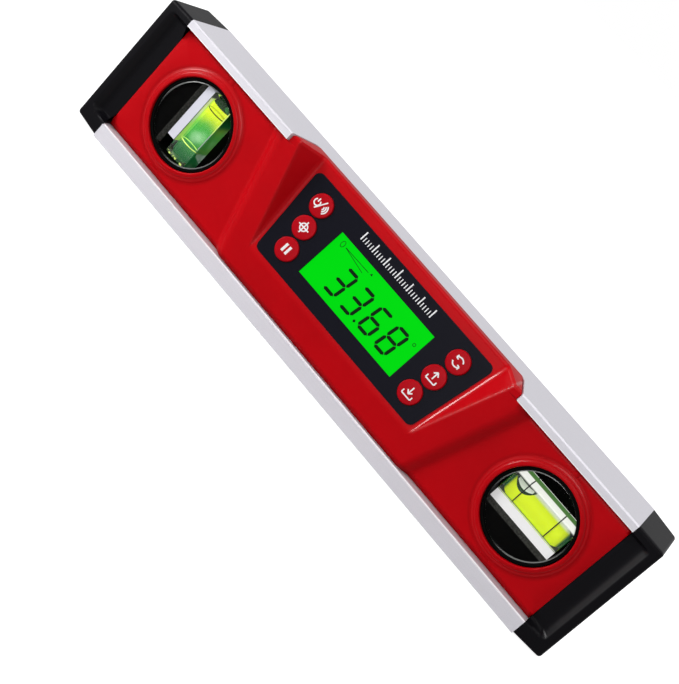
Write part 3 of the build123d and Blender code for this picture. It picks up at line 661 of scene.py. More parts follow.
def paint_level_block_light(finish):
    """The level block's upper side: a pale band of painted glow in front, standing in for light reflected
    inside the block, with the two lines across it, and dark green painted shade towards its back."""
    sizes = bpy.context.scene.level_vials
    over, depth = vial_place(finish, "level")
    off = abs(finish.from_middle("level_vial_lens", "X"))
    line = off.near(sizes.line_place, 0.4 * sizes.line_width, 0.7 * sizes.line_width)
    # Painted shade: dark green towards the back of the upper side.
    back = sizes.block_front + sizes.glow_band_depth
    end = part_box("level_vial_block")[1].y - frame_front()
    green = depth.between(back - 0.9 * MM, back, end - 0.9 * MM, end - 0.7 * MM)
    shade = finish.mix(line, (0.86, 0.88, 0.82, 1), palette().line)
    shade = finish.mix(green, shade, palette().back_shade)
    # Painted light: a pale glowing band in front, in place of the light reflected inside the block.
    glow_band = over.step(sizes.block_top - 1.1 * MM, sizes.block_top - 0.3 * MM) * 0.88
    dark = (0.05, 0.06, 0.05, 1)
    finish.cover(glow_band, Base_Color=dark, Emission_Color=shade, Emission_Strength=1.08, Roughness=0.6)


def paint_plumb_block_light(finish):
    """The upright block, painted with light and shade: its side away from the strip shows the fluid's green
    and a painted highlight along its front edge; its foot is painted dark as shade, with painted glints
    along the front."""
    sizes = bpy.context.scene.level_vials
    low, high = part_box("plumb_vial_block")
    over, depth = vial_place(finish, "plumb")
    behind, rise = depth - sizes.block_front, finish.axis("Z") - low.z
    run = rise / (high.z - low.z)
    lit = palette().line_lit
    # Painted shade and highlight: the side shows the fluid's dark greens, with a pale line along its front
    # edge.
    side = over.step(sizes.block_top - 0.3 * MM, sizes.block_top - 0.1 * MM)
    edge = over.step(sizes.block_top - 0.7 * MM, sizes.block_top - 0.5 * MM) - side
    edge = edge * (1 - behind.step(0.1 * MM, 0.3 * MM)) * run.step(0.25, 0.35)
    painted_side_colour = finish.mix(run.step(0.7, 0.9), palette().fluid_deep, palette().fluid_edge)
    pale = finish.mix(run.step(0.55, 0.65), shaded(palette().reflector_shade, 0.5), lit)
    painted_side_colour = finish.mix(edge, painted_side_colour, pale)
    pane = side * (0.8 + 0.2 * run.step(0.6, 0.75)) + edge * 0.7
    finish.cover(pane, Base_Color=painted_side_colour, Emission_Color=painted_side_colour, Emission_Strength=0.3, Roughness=0.4)
    # Painted shade: the foot is made dark.
    foot = 1 - rise.step(0.3 * MM, 0.5 * MM)
    finish.cover(foot * 0.6, Base_Color=palette().fluid_edge, Roughness=0.5, Specular_IOR_Level=0.1)
    # Painted glints along the front edge of the foot.
    corner = (1 - rise.step(0.9 * MM, 1.1 * MM)) * (1 - behind.step(0.5 * MM, 0.9 * MM))
    glint = corner * finish.noise(620, 1).step(0.5, 0.66)
    finish.cover(glint * 0.8, Base_Color=lit, Emission_Color=lit, Emission_Strength=0.5)


def vial_fluid(name):
    """Fluorescent fluid, partly seen through, whose glow is painted light: an emission of yellow-green."""
    finish = Finish(name + "_vial_fluid", Specular_IOR_Level=0.02)
    slow = finish.noise(140)
    # Painted light: the fluid glows by an emission, strongest in the upright vial, where little of it is
    # seen.
    if name == "level":
        shade, seen, strength = level_fluid_shade(finish, slow), 0.85, 0.45
    else:
        shade, seen, strength = plumb_fluid_shade(finish, slow), 0.22, 2.2
    return finish.glow(shade, Roughness=0.2 + slow * 0.1, Alpha=seen, Emission_Strength=strength)


def level_fluid_shade(finish, slow):
    """Yellow-green, with a painted highlight along the top and painted shade at the ends and at the back."""
    sizes = bpy.context.scene.level_vials
    over, depth = vial_place(finish, "level")
    low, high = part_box("level_vial_fluid")
    half = (high.x - low.x) / 2
    # Painted highlight along the top, and painted shade at the back and at the ends.
    upper = over.step(sizes.bore_rise + 0.75 * sizes.bore, sizes.bore_rise + sizes.bore)
    far = (depth - sizes.block_front - sizes.bore_wall - sizes.bore).step(0.6 * MM, 1.4 * MM)
    end = abs(finish.from_middle("level_vial_fluid", "X")).step(0.92 * half, half)
    shade = finish.varied(slow * 0.16, palette().fluid, 1.0, 0.82)
    shade = finish.mix(upper, shade, (0.8, 0.86, 0.62, 1))
    shade = finish.mix(far, shade, finish.mix(slow, palette().fluid_deep, palette().fluid_mid))
    return finish.mix(end, shade, palette().fluid_deep)


def plumb_fluid_shade(finish, slow):
    """Yellow at the top and greener going down, as painted light and shade, with a painted pale glow a
    little below the middle.
    """
    sizes = bpy.context.scene.level_vials
    over, _ = vial_place(finish, "plumb")
    low, high = (corner.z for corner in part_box("plumb_vial_fluid"))
    height = finish.axis("Z")
    # Painted light and shade: yellow at the top, darker greens going down, and a pale glow below the middle.
    drop = (high - height) / (high - low) + slow * 0.24 - 0.12
    green = finish.mix(drop.step(0.6, 0.95), palette().fluid_mid, palette().fluid_deep)
    shade = finish.mix(drop.step(0.22, 0.46), palette().fluid, green)
    off = distance(over - sizes.bore_rise - 0.3 * sizes.bore, height - 0.6 * low - 0.4 * high)
    painted_glow = 1 - off.step(0.6 * MM, 3.4 * MM)
    return finish.mix(painted_glow * 0.6, shade, palette().painted_glow)


def line_ink(name, label):
    """The lines round a bore: black, but on the upright vial the lower one is painted pale and glows, as
    painted light.
    """
    # Painted light: the upright vial's lower line is pale and glows.
    pale = name == "plumb" and label == "second"
    rgba = palette().line_lit if pale else palette().line
    finish = Finish(f"{name}_{label}_line_ink", Specular_IOR_Level=0.0)
    fine = finish.noise(900)
    shade = finish.varied(fine, rgba, 0.85, 1.15)
    return finish.glow(shade, Roughness=0.4 + fine * 0.1, Emission_Strength=0.5 if pale else 0.0)


def bubble_gas(name):
    """Gas in the fluid, painted with light and shade: a pale glow inside, or green in the upright vial, with
    a dark green outline of painted shade.
    """
    finish = Finish(name + "_bubble_gas", Specular_IOR_Level=0.1, Emission_Strength=0.25)
    rim = finish.node("ShaderNodeAttribute", {"attribute_name": "rim"}, {}, "Fac")
    fine = finish.noise(400)
    if name == "level":
        inner = finish.mix(fine, (0.72, 0.82, 0.62, 1), (0.86, 0.92, 0.8, 1))
    else:
        inner = finish.mix(fine, palette().fluid_mid, palette().fluid_deep)
    # Painted shade: the dark outline and streak written on the bubble's points.
    shade = finish.mix(rim.step(0.2, 0.7), inner, palette().fluid_edge)
    return finish.glow(shade, Roughness=0.12 + fine * 0.08)


def white_reflector(name):
    """White moulding of the strip, with a faint painted glow, made greyer on the upright vial as painted
    shade.
    Its face under the block has a dark line of painted shade where it meets the block, and behind the line
    the fluid's light, painted."""
    sizes = bpy.context.scene.level_vials
    # Painted light: the whole strip glows faintly.
    finish = Finish(name + "_white_reflector", Specular_IOR_Level=0.1, Emission_Strength=0.2)
    fine = finish.noise(4000)
    over, depth = vial_place(finish, name)
    inner = depth - sizes.block_front
    block = name + "_vial_block"
    if name == "level":
        rgba, lit = palette().reflector, palette().fluid
        start, end = 2.2 * MM, 3.4 * MM
    else:
        rgba = palette().reflector_shade
        upper = finish.from_middle(block, "Z").step(-2 * MM, 3 * MM)
        upper = upper * (1 - inner.step(3.6 * MM, 4.2 * MM))
        lit = finish.mix(upper, palette().line_lit, palette().reflector)
        start, end = -0.5 * MM, 0.8 * MM
    low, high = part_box(block)
    reach = max(high.x - low.x, high.z - low.z) / 2
    run = abs(finish.from_middle(block, ALONG[name]))
    face = over.step(-sizes.block_foot - 0.15 * MM, -sizes.block_foot - 0.1 * MM)
    inside = face * (1 - run.step(reach - 3.2 * MM, reach - 2.4 * MM))
    shade = finish.varied(fine, rgba, 0.94, 1.0)
    # Painted shade: a dark line where the strip meets the block.
    shade = finish.mix(face * inner.step(start, start + 0.1 * MM), shade, palette().bond)
    # Painted light: the fluid's glow on the face behind the line.
    shade = finish.mix(inside * inner.step(end, end + 0.1 * MM), shade, lit)
    return finish.glow(shade, Roughness=0.45 + fine * 0.15)


def tinted_plug():
    """The tinted plug of a filling hole."""
    finish = Finish("tinted_plug", Specular_IOR_Level=0.3)
    fine = finish.noise(900)
    shade = finish.mix(fine, (0.1, 0.17, 0.08, 1), (0.15, 0.24, 0.11, 1))
    return finish.set(Base_Color=shade, Roughness=0.35 + fine * 0.1)


# Finishes of what is inside


def circuit_mask():
    """Green lacquer over copper, which shows as faint paler tracks."""
    finish = Finish("circuit_mask", Specular_IOR_Level=0.4)
    upright = finish.node("ShaderNodeCombineXYZ", {}, {"X": finish.axis("X"), "Y": finish.axis("Z")})
    bricks = {"Vector": upright, "Scale": 90.0}
    tracks = finish.node("ShaderNodeTexBrick", {"offset": 0.37, "squash": 1.4}, bricks, "Fac")
    fine = finish.noise(1200)
    shade = finish.mix(tracks * 0.7 + fine * 0.2, (0.008, 0.09, 0.035, 1), (0.03, 0.2, 0.08, 1))
    return finish.set(Base_Color=shade, Roughness=0.28 + fine * 0.1)


def cell_jacket():
    """A plain cell: a dark jacket with a coppery band towards one end."""
    finish = Finish("cell_jacket", Specular_IOR_Level=0.4)
    band = finish.axis("X").step(6.0 * MM, 6.4 * MM)
    shade = finish.mix(band, (0.016, 0.017, 0.02, 1), (0.42, 0.2, 0.07, 1))
    return finish.set(Base_Color=shade, Roughness=0.25 + finish.noise(900) * 0.1, Metallic=band * 0.8)


def plated(name, rgba, roughness):
    """Plated or bare metal with a faint uneven sheen."""
    finish = Finish(name, Metallic=1.0)
    fine = finish.noise(2600, 3)
    return finish.set(Base_Color=finish.varied(fine, rgba, 0.88, 1.08), Roughness=roughness + fine * 0.14)


# Surfaces

MERGE_DISTANCE = 0.001 * MM
SHARP_ANGLE = math.radians(35)
NEARLY_HALF = 0.48
TINY = 1e-12


def grid_patch(points, wrap=False):
    """A patch from a grid of points (rows, columns, xyz): its points, row by row, and the quads between
    them. Wrap joins the last column to the first."""
    rows, columns = points.shape[:2]
    row = np.arange(rows - 1)[:, None] * columns
    column = np.arange(columns if wrap else columns - 1)
    after = (column + 1) % columns
    corners = (row + column, row + after, row + columns + after, row + columns + column)
    return points.reshape(-1, 3), np.stack(corners, axis=-1).reshape(-1, 4)


def flipped(patch):
    """A patch with its faces turned round."""
    points, faces = patch
    return points, faces[:, ::-1]


def outward(patch):
    """A closed patch with its faces turned outwards, judged by the sign of its volume."""
    points, faces = patch
    a, b, c, d = (points[faces[:, corner]] for corner in range(4))
    volume = np.sum(a * (np.cross(b - a, c - a) + np.cross(c - a, d - a)))
    return patch if volume > 0 else flipped(patch)


def joined(patches):
    """Several patches as one list of points and one of faces."""
    starts = np.cumsum([0] + [len(points) for points, _ in patches])
    points = np.concatenate([points for points, _ in patches])
    faces = [row for (_, quads), start in zip(patches, starts) for row in (quads + start).tolist()]
    return points.tolist(), faces


def make_piece(name, patches, body, material, replaces=()):
    """Makes one object of several patches, rides it on a body and lets it stand for CAD nodes."""
    points, faces = joined(patches)
    mesh = bpy.data.meshes.new(name)
    mesh.from_pydata(points, [], faces)
    work = bmesh.new()
    work.from_mesh(mesh)
    bmesh.ops.remove_doubles(work, verts=work.verts, dist=MERGE_DISTANCE)
    bmesh.ops.dissolve_degenerate(work, edges=work.edges, dist=MERGE_DISTANCE)
    work.to_mesh(mesh)
    work.free()
    mesh.shade_smooth()
    mesh.set_sharp_from_angle(angle=SHARP_ANGLE)
    mesh.materials.append(material)
    piece = bpy.data.objects.new(name, mesh)
    bpy.context.scene.collection.objects.link(piece)
    weigh_normals(piece)
    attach(piece, body)
    if replaces:
        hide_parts(*replaces)
    return piece


def weigh_normals(piece):
    """Lets the large faces keep their own direction, so that only the rounded edges catch the light."""
    even = piece.modifiers.new("even_shading", "WEIGHTED_NORMAL")
    even.keep_sharp = True


def thicken(piece, wall):
    """Gives a surface a wall behind it, before its shading is evened."""
    shell = piece.modifiers.new("wall", "SOLIDIFY")
    shell.thickness = wall
    shell.offset = -1.0
    piece.modifiers.move(1, 0)


def dress(material, *nodes):
    """Gives CAD nodes a material."""
    for node in nodes:
        mesh = frame["nodes"][node].data
        mesh.materials.clear()
        mesh.materials.append(material)


def mesh_points(mesh):
    """A mesh's points, as rows of x, y, z."""
    points = np.empty(len(mesh.vertices) * 3, np.float32)
    mesh.vertices.foreach_get("co", points)
    return points.reshape(-1, 3).astype(float)


def node_points(node):
    """A CAD node's points, as rows of x, y, z."""
    return mesh_points(frame["nodes"][node].data)


class Slope:
    """The display panel's plane: x across the level, u up the slope and h out of the panel."""

    def __init__(self):
        press = next(joint for joint in frame["joints"] if joint["name"] == "power_press")
        self.across = np.array((1.0, 0.0, 0.0))
        self.out = -np.array(press["axis"], float)
        self.up = np.cross(self.out, self.across)
        panel = node_points("display_panel")
        self.origin = self.out * (panel @ self.out).max() + self.up * (panel @ self.up).min()

    def point(self, x, u, h=0.0):
        """Points in the level's frame, for arrays of x, u and h."""
        parts = zip(np.broadcast_arrays(x, u, h), (self.across, self.up, self.out))
        return self.origin + sum(part[..., None] * way for part, way in parts)

    def span(self, node):
        """The box of a CAD node on the slope: its lowest and its highest x, u and h."""
        places = (node_points(node) - self.origin) @ np.stack([self.across, self.up, self.out], axis=1)
        return places.min(axis=0), places.max(axis=0)


def stroke(path, width):
    """A flat line of a width along a path of (x, u) points: each point is moved to both sides by half the
    width, along the mean of the normals of the runs that meet there."""
    path = np.asarray(path, float)
    run = np.diff(path, axis=0)
    run /= np.linalg.norm(run, axis=1, keepdims=True)
    normal = np.stack([-run[:, 1], run[:, 0]], axis=1)
    joint = np.concatenate([normal[:1], normal[:-1] + normal[1:], normal[-1:]])
    joint /= np.linalg.norm(joint, axis=1, keepdims=True)
    first = np.concatenate([normal[:1], normal])
    reach = width / 2 / np.sum(joint * first, axis=1, keepdims=True)
    return np.stack([path - joint * reach, path + joint * reach], axis=0)


def ribbon(slope, path, width, lift):
    """A flat line on the slope, along a path."""
    sides = stroke(path, width)
    return grid_patch(slope.point(sides[..., 0], sides[..., 1], lift))


def arc(radius, start, end, steps=24, centre=(0, 0)):
    """Points on a circle between two angles in degrees."""
    turn = np.radians(np.linspace(start, end, steps))
    return np.stack([np.cos(turn), np.sin(turn)], axis=1) * radius + np.array(centre)


def straights(*corners):
    """Straight lines between corners that follow each other, each as a row of points."""
    return [np.linspace(start, end, 9) for start, end in zip(corners, corners[1:])]


def lathe(profile, centre, axis, across, steps=96):
    """Turns a profile of (radius, height) rows about an axis: the point at an angle t is
    centre + axis * height + radius * (across * cos t + third * sin t). A profile that runs from the axis
    out, along the axis and back to it faces outwards."""
    profile = np.asarray(profile, float)
    axis, across = np.asarray(axis, float), np.asarray(across, float)
    third = np.cross(axis, across)
    angle = np.linspace(0, 2 * np.pi, steps, endpoint=False)
    turn = np.cos(angle)[:, None] * across + np.sin(angle)[:, None] * third
    points = np.asarray(centre, float) + profile[:, 1, None, None] * axis + profile[:, 0, None, None] * turn
    return grid_patch(points, wrap=True)


def toward(start, end, setback):
    """A step of a length from one point towards another, at most nearly half of the way."""
    way = end - start
    size = np.linalg.norm(way, axis=-1, keepdims=True)
    return way * np.minimum(NEARLY_HALF, setback / np.maximum(size, TINY))


def parabola(before, corner, after, setback, steps):
    """Softens a corner: the curve (1-s)^2 * start + 2s(1-s) * corner + s^2 * end leaves and meets the path a
    setback away from the corner."""
    start = corner + toward(corner, before, setback)
    end = corner + toward(corner, after, setback)
    share = np.linspace(0, 1, steps)[:, None, None]
    return (1 - share) ** 2 * start + 2 * share * (1 - share) * corner + share**2 * end


def soft_corners(corners, setbacks, steps=7):
    """Softens the inner corners of many paths at once, from an array of corner, path, (across, depth)."""
    inner = zip(corners, corners[1:], corners[2:], setbacks)
    return np.concatenate([corners[:1], *(parabola(*place, steps) for place in inner), corners[-1:]])


def soft_profile(corners, setbacks, steps=7):
    """One path with its inner corners softened."""
    return soft_corners(np.array(corners, float)[:, None], setbacks, steps)[:, 0]


def path_corners(corners):
    """Corners given as pairs of an array across and an array of depths, as one array for soft_corners."""
    return np.array([np.stack(np.broadcast_arrays(*corner), axis=-1) for corner in corners])


def rounded_outline(corners, radius, steps=6):
    """A closed outline with softened corners."""
    corners = np.array(corners, float)
    before, after = np.roll(corners, 1, axis=0), np.roll(corners, -1, axis=0)
    return parabola(before, corners, after, radius, steps).transpose(1, 0, 2).reshape(-1, 2)


def rectangle(low, high):
    """The corners of a rectangle between two corners."""
    return np.array([low, (high[0], low[1]), high, (low[0], high[1])])


def drawn_in(section, inset):
    """Copies of an outline drawn in towards its middle, one for each inset."""
    centre = (section.min(axis=0) + section.max(axis=0)) / 2
    arm = section - centre
    return centre + np.sign(arm) * np.maximum(np.abs(arm) - np.asarray(inset)[:, None, None], 0)


# Pieces


class PieceOperator:
    """What the operators share: each makes or dresses its pieces once."""

    bl_options = {"REGISTER", "UNDO"}

    def execute(self, context):
        self.build(context)
        return {"FINISHED"}


class LEVEL_OT_frame(PieceOperator, bpy.types.Operator):
    """Dresses the aluminium frame and its magnets."""

    bl_idname = "spirit_level.frame"
    bl_label = "Aluminium frame"

    def build(self, context):
        dress(look(anodised_aluminium), "aluminium_frame")
        dress(look(plated, "nickel_plating", (0.62, 0.6, 0.56, 1), 0.2), "base_magnets")


class LEVEL_OT_front_housing(PieceOperator, bpy.types.Operator):
    """Builds the front housing: two sunk vial panels with raised rings, and the pod with its pocket."""

    bl_idname = "spirit_level.front_housing"
    bl_label = "Front housing"

    # Numbers of points: up the pod, round a rolled edge, and along and up the edges of a vial panel
    ROW_POINTS, ROLL_POINTS, LENGTH_POINTS, HEIGHT_POINTS = 62, 9, 44, 60

    def build(self, context):
        self.sizes = context.scene.level_housing
        self.hole = context.scene.level_vials.ring_outer + self.sizes.window_gap
        self.front = frame_front()
        self.low, self.high = inner_faces()
        self.middle = (self.low + self.high) / 2
        self.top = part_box("front_housing")[1].z
        self.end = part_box("front_housing")[1].x
        out = Slope().out
        self.slope = -out[2] / out[1]
        half = [self.flank(), *self.vial_panel()]
        patches = [self.pod(), *map(self.mirrored, half), *half]
        red, nodes = look(red_housing), ("front_housing",)
        piece = make_piece("front_housing_moulding", patches, "level", red, nodes)
        thicken(piece, self.sizes.wall)

    def mirrored(self, patch):
        """A patch of the right half as one of the left half."""
        points, faces = patch
        return flipped((points * (-1, 1, 1), faces))

    def surface(self, x, depth, z):
        """Points from arrays of x, depth behind the frame's front and height."""
        return np.stack(np.broadcast_arrays(x, self.front + depth, z), axis=-1)

    def fold(self, width):
        """The rolled edge, a parabola: depth behind the face and distance from the edge, from its back to
        its face."""
        share = np.linspace(0, 1, self.ROLL_POINTS)
        depth = np.concatenate([[self.sizes.skirt], self.sizes.edge_roll * (1 - share) ** 2])
        return depth, np.concatenate([[0.0], width * share])

    def rows(self):
        """Heights of the rows from the lower to the upper edge, and how far the rolls set each one back."""
        width = self.sizes.edge_width
        depth, inset = self.fold(width)
        crease = self.sizes.pocket_foot + np.linspace(-1.2, 1.2, self.ROLL_POINTS) * self.sizes.foot_soft
        even = np.linspace(self.low + width, self.high - width, self.ROW_POINTS)[1:-1]
        inner = np.unique(np.concatenate([even, crease]))
        heights = np.concatenate([self.low + inset, inner, self.high - inset[::-1]])
        back = np.concatenate([depth, np.zeros(len(inner)), depth[::-1]])
        return heights, back

    def flank_top(self, z):
        """Half the width of the pod's face."""
        return self.sizes.pod_width / 2 + math.tan(self.sizes.flank_lean) * (z - self.middle)

    def flank_foot(self, z):
        """Half the width of the pod at the vial panels."""
        return self.flank_top(z) + self.sizes.flank_run

    def pocket_side(self, z, spread):
        """Half the width of the pocket, which grows evenly with a spread above the pocket's foot."""
        rise = np.maximum(z - self.sizes.pocket_foot, 0)
        return self.sizes.pocket_width / 2 + math.tan(spread) * rise

    def ridge(self, z):
        """Half the width between the ridges beside the pocket."""
        return self.pocket_side(z, self.sizes.ridge_spread)

    def floor_edge(self, z):
        """Half the width of the pocket's floor."""
        return self.pocket_side(z, self.sizes.floor_spread)

    def floor_depth(self, z):
        """Depth of the pocket's floor: the face of the pod below the foot and the slope above it, joined by
        a parabola."""
        soft = self.sizes.foot_soft
        rise = z - self.sizes.pocket_foot
        blend = np.clip(rise + soft, 0, 2 * soft) ** 2 / (4 * soft)
        return self.sizes.pod_depth + self.slope * (blend + np.maximum(rise - soft, 0))

    def seam(self, z):
        """Where the pod's middle joins its sides: in line with the side of the head at the top."""
        ridge, flank = self.ridge(self.high), self.flank_top(self.high)
        share = (self.sizes.head_front - ridge) / (flank - ridge)
        return self.ridge(z) + share * (self.flank_top(z) - self.ridge(z))

    def flank(self):
        """One side of the pod: at each height a path from the seam over the flank to the vial panel. Its
        upper edge rolls back by the share that the flank is sunk there."""
        sizes = self.sizes
        z, back = self.rows()
        foot = self.flank_foot(z)
        corners = path_corners([
            (self.seam(z), sizes.pod_depth), (self.flank_top(z), sizes.pod_depth),
            (foot, sizes.panel_depth), (foot + sizes.flank_margin, sizes.panel_depth),
        ])
        x, depth = np.moveaxis(soft_corners(corners, [sizes.flank_crown, sizes.flank_soft], 11), -1, 0)
        sunk = np.clip((depth - sizes.pod_depth) / (sizes.panel_depth - sizes.pod_depth), 0, 1)
        depth = depth + back * np.where(z > self.middle, sunk, 1)
        return grid_patch(self.surface(x.T, depth.T, z[:, None]))

    def pod_rows(self):
        """Heights of the pod's rows, and how far each is set back: the flanks' rows, then the rise of the
        head over the flange, the roll of its edge and its top."""
        sizes = self.sizes
        low_z, low_back = self.rows()
        low_back = np.where(low_z > self.middle, 0, low_back)
        depth, inset = self.fold(sizes.edge_roll)
        rise = np.linspace(self.high + sizes.head_gap, self.top - sizes.edge_roll, 8)[:-1]
        heights = np.concatenate([low_z[:-1], rise, self.top - inset[:0:-1], [self.top]])
        back = np.concatenate([low_back[:-1], 0 * rise, depth[:0:-1], [sizes.edge_roll]])
        return heights, back

    def pod(self):
        """The middle of the pod: at each height a path from one side of the head, over the ridge and the
        pocket to the other side. At the top it rolls over to the flat top of the head. The floor is open
        behind the display panel, and the walls that only the head has are left out below it."""
        sizes = self.sizes
        z, back = self.pod_rows()
        rolled = np.where(z > self.high, back, 0)
        side = np.minimum(self.seam(z), sizes.head_front) - rolled
        edge, floor, face = self.floor_edge(z), self.floor_depth(z) + back, sizes.pod_depth + back
        corners = path_corners([
            (0, floor), (edge - sizes.floor_rim, floor), (edge, floor), (self.ridge(z), face), (side, face),
            (side - sizes.head_front + sizes.head_back, sizes.web_depth),
        ])
        head = np.clip((z - self.high) / sizes.head_gap, 0, 1)
        soft = [0, sizes.hollow_soft, sizes.ridge_soft, head[:, None] * sizes.ridge_soft]
        half = soft_corners(corners, soft)
        # The last row lies at the web, so that the head's top is flat
        half[:, -1, 0] = np.minimum(half[:, -1, 0], half[-1, -1, 0])
        half[:, -1, 1] = sizes.web_depth
        path = np.concatenate([half[:0:-1] * (-1, 1), half])
        points, faces = grid_patch(self.surface(path[..., 0].T, path[..., 1].T, z[:, None]))
        x, _, height = np.abs(points[faces].mean(axis=1)).T
        low, high = (corner.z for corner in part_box("display_panel"))
        behind = (height > low + sizes.floor_rim) & (height < high - sizes.floor_rim)
        opening = behind & (x < self.floor_edge(height) - sizes.floor_rim)
        columns = len(path) - 1
        wall = np.isin(np.arange(len(faces)) % columns, (0, columns - 1))
        inside = wall & (height < self.high)
        return points, faces[~(opening | inside)]

    def vial_panel(self):
        """The panel round a window: rays from the window's rim, over the ring, to the panel's edge; and the
        rolled edges along the rail and the flange."""
        sizes = self.sizes
        z, back = self.rows()
        z = z[back == 0]
        slant = self.flank_foot(z) + sizes.flank_margin
        share = np.linspace(0, 1, self.LENGTH_POINTS)
        sides = [
            (slant, z),
            (slant[-1] + (self.end - slant[-1]) * share, z[-1]),
            (self.end, np.linspace(z[-1], z[0], self.HEIGHT_POINTS)),
            (slant[0] + (self.end - slant[0]) * share[::-1], z[0]),
        ]
        edge = np.concatenate([np.stack(np.broadcast_arrays(*side), axis=1)[:-1] for side in sides])
        centre = np.array((middle("level_vial_cup").x, self.middle))
        ray = edge - centre
        ray /= np.linalg.norm(ray, axis=1, keepdims=True)
        ring = self.ring_profile()
        plane = np.concatenate([centre + ring[:, :1, None] * ray, edge[None]])
        depth = np.append(ring[:, 1], sizes.panel_depth)
        patches = [grid_patch(self.surface(plane[..., 0], depth[:, None], plane[..., 1]), wrap=True)]
        depth, inset = self.fold(sizes.edge_width)
        for height, turn in ((self.low + inset, 1), (self.high - inset, -1)):
            start = (self.flank_foot(height) + sizes.flank_margin)[:, None]
            x = start + (self.end - start) * share
            strip = self.surface(x, sizes.panel_depth + depth[:, None], height[:, None])
            patches.append(grid_patch(strip[::turn]))
        return patches

    def ring_profile(self):
        """The raised ring round a window, as radius and depth: from inside the window over the crown, down a
        slope, a step and a second slope to the panel."""
        sizes = self.sizes
        crown = sizes.panel_depth - sizes.boss_height
        # Each corner outside the crown: its radius, and its drop as a share of the ring's height
        slope = (
            (sizes.boss_top, 0.28), (sizes.boss_top + 0.4 * MM, 0.58), (sizes.boss_shelf, 0.7),
            (sizes.boss_base, 1.0), (sizes.boss_base + 0.8 * MM, 1.0),
        )
        corners = [(self.hole, sizes.panel_depth + 2 * MM), (self.hole, crown)]
        corners += [(radius, crown + drop * sizes.boss_height) for radius, drop in slope]
        return soft_profile(corners, [sizes.lip_soft] + [sizes.boss_soft] * 4)


class LEVEL_OT_rear(PieceOperator, bpy.types.Operator):
    """Dresses the rear housing and the battery door, and builds the screws."""

    bl_idname = "spirit_level.rear"
    bl_label = "Rear housing"

    def build(self, context):
        dress(look(red_housing), "rear_housing", "battery_door")
        steel = look(plated, "screw_steel", (0.5, 0.5, 0.5, 1), 0.25)
        dress(steel, "board_screws")
        self.sizes = context.scene.level_screws
        low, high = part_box("housing_screws")
        edge = self.sizes.head
        screws = [
            self.screw(np.array((x, 0, z)), low.y, high.y)
            for x in (low.x + edge, high.x - edge) for z in (low.z + edge, high.z - edge)
        ]
        make_piece("housing_screw_set", screws, "level", steel, ("housing_screws",))

    def screw(self, centre, tip, face):
        """A screw turned about its axis, from its tip along the shank, under and round the head, to a cross
        sunk in its face. At an angle t the cross reaches as far as the further of two crossed bars, and a
        bar of half length a and half width b reaches the smaller of a / |cos t| and b / |sin t|."""
        sizes = self.sizes
        long, wide = sizes.cross / 2, sizes.bar / 2
        corner = math.atan2(wide, long)
        eighth = np.concatenate([np.linspace(0, corner, 4), np.linspace(corner, np.pi / 4, 7)[1:]])
        quarter = np.concatenate([eighth, np.pi / 2 - eighth[-2:0:-1]])
        turn = np.concatenate([quarter + k * np.pi / 2 for k in range(4)])
        across, aside = np.maximum(np.abs([np.cos(turn), np.sin(turn)]), TINY)
        bars = [np.minimum(long / across, wide / aside), np.minimum(wide / across, long / aside)]
        cross = np.maximum(*bars)
        under, bottom = face - sizes.head_height, face - sizes.cross_depth
        bend, roll = np.linspace(0, np.pi / 2, 5), sizes.head_round
        edge = zip(sizes.head - roll * (1 - np.cos(bend)), face - roll * (1 - np.sin(bend)))
        profile = [(0, tip), (sizes.shank, tip), (sizes.shank, under), (sizes.head, under), *edge]
        profile += [(cross, face), (sizes.cross_draft * cross, bottom), (0, bottom)]
        rows = [np.broadcast_arrays(r * np.cos(turn), y, r * np.sin(turn)) for r, y in profile]
        return outward(grid_patch(centre + np.stack(rows).transpose(0, 2, 1), wrap=True))


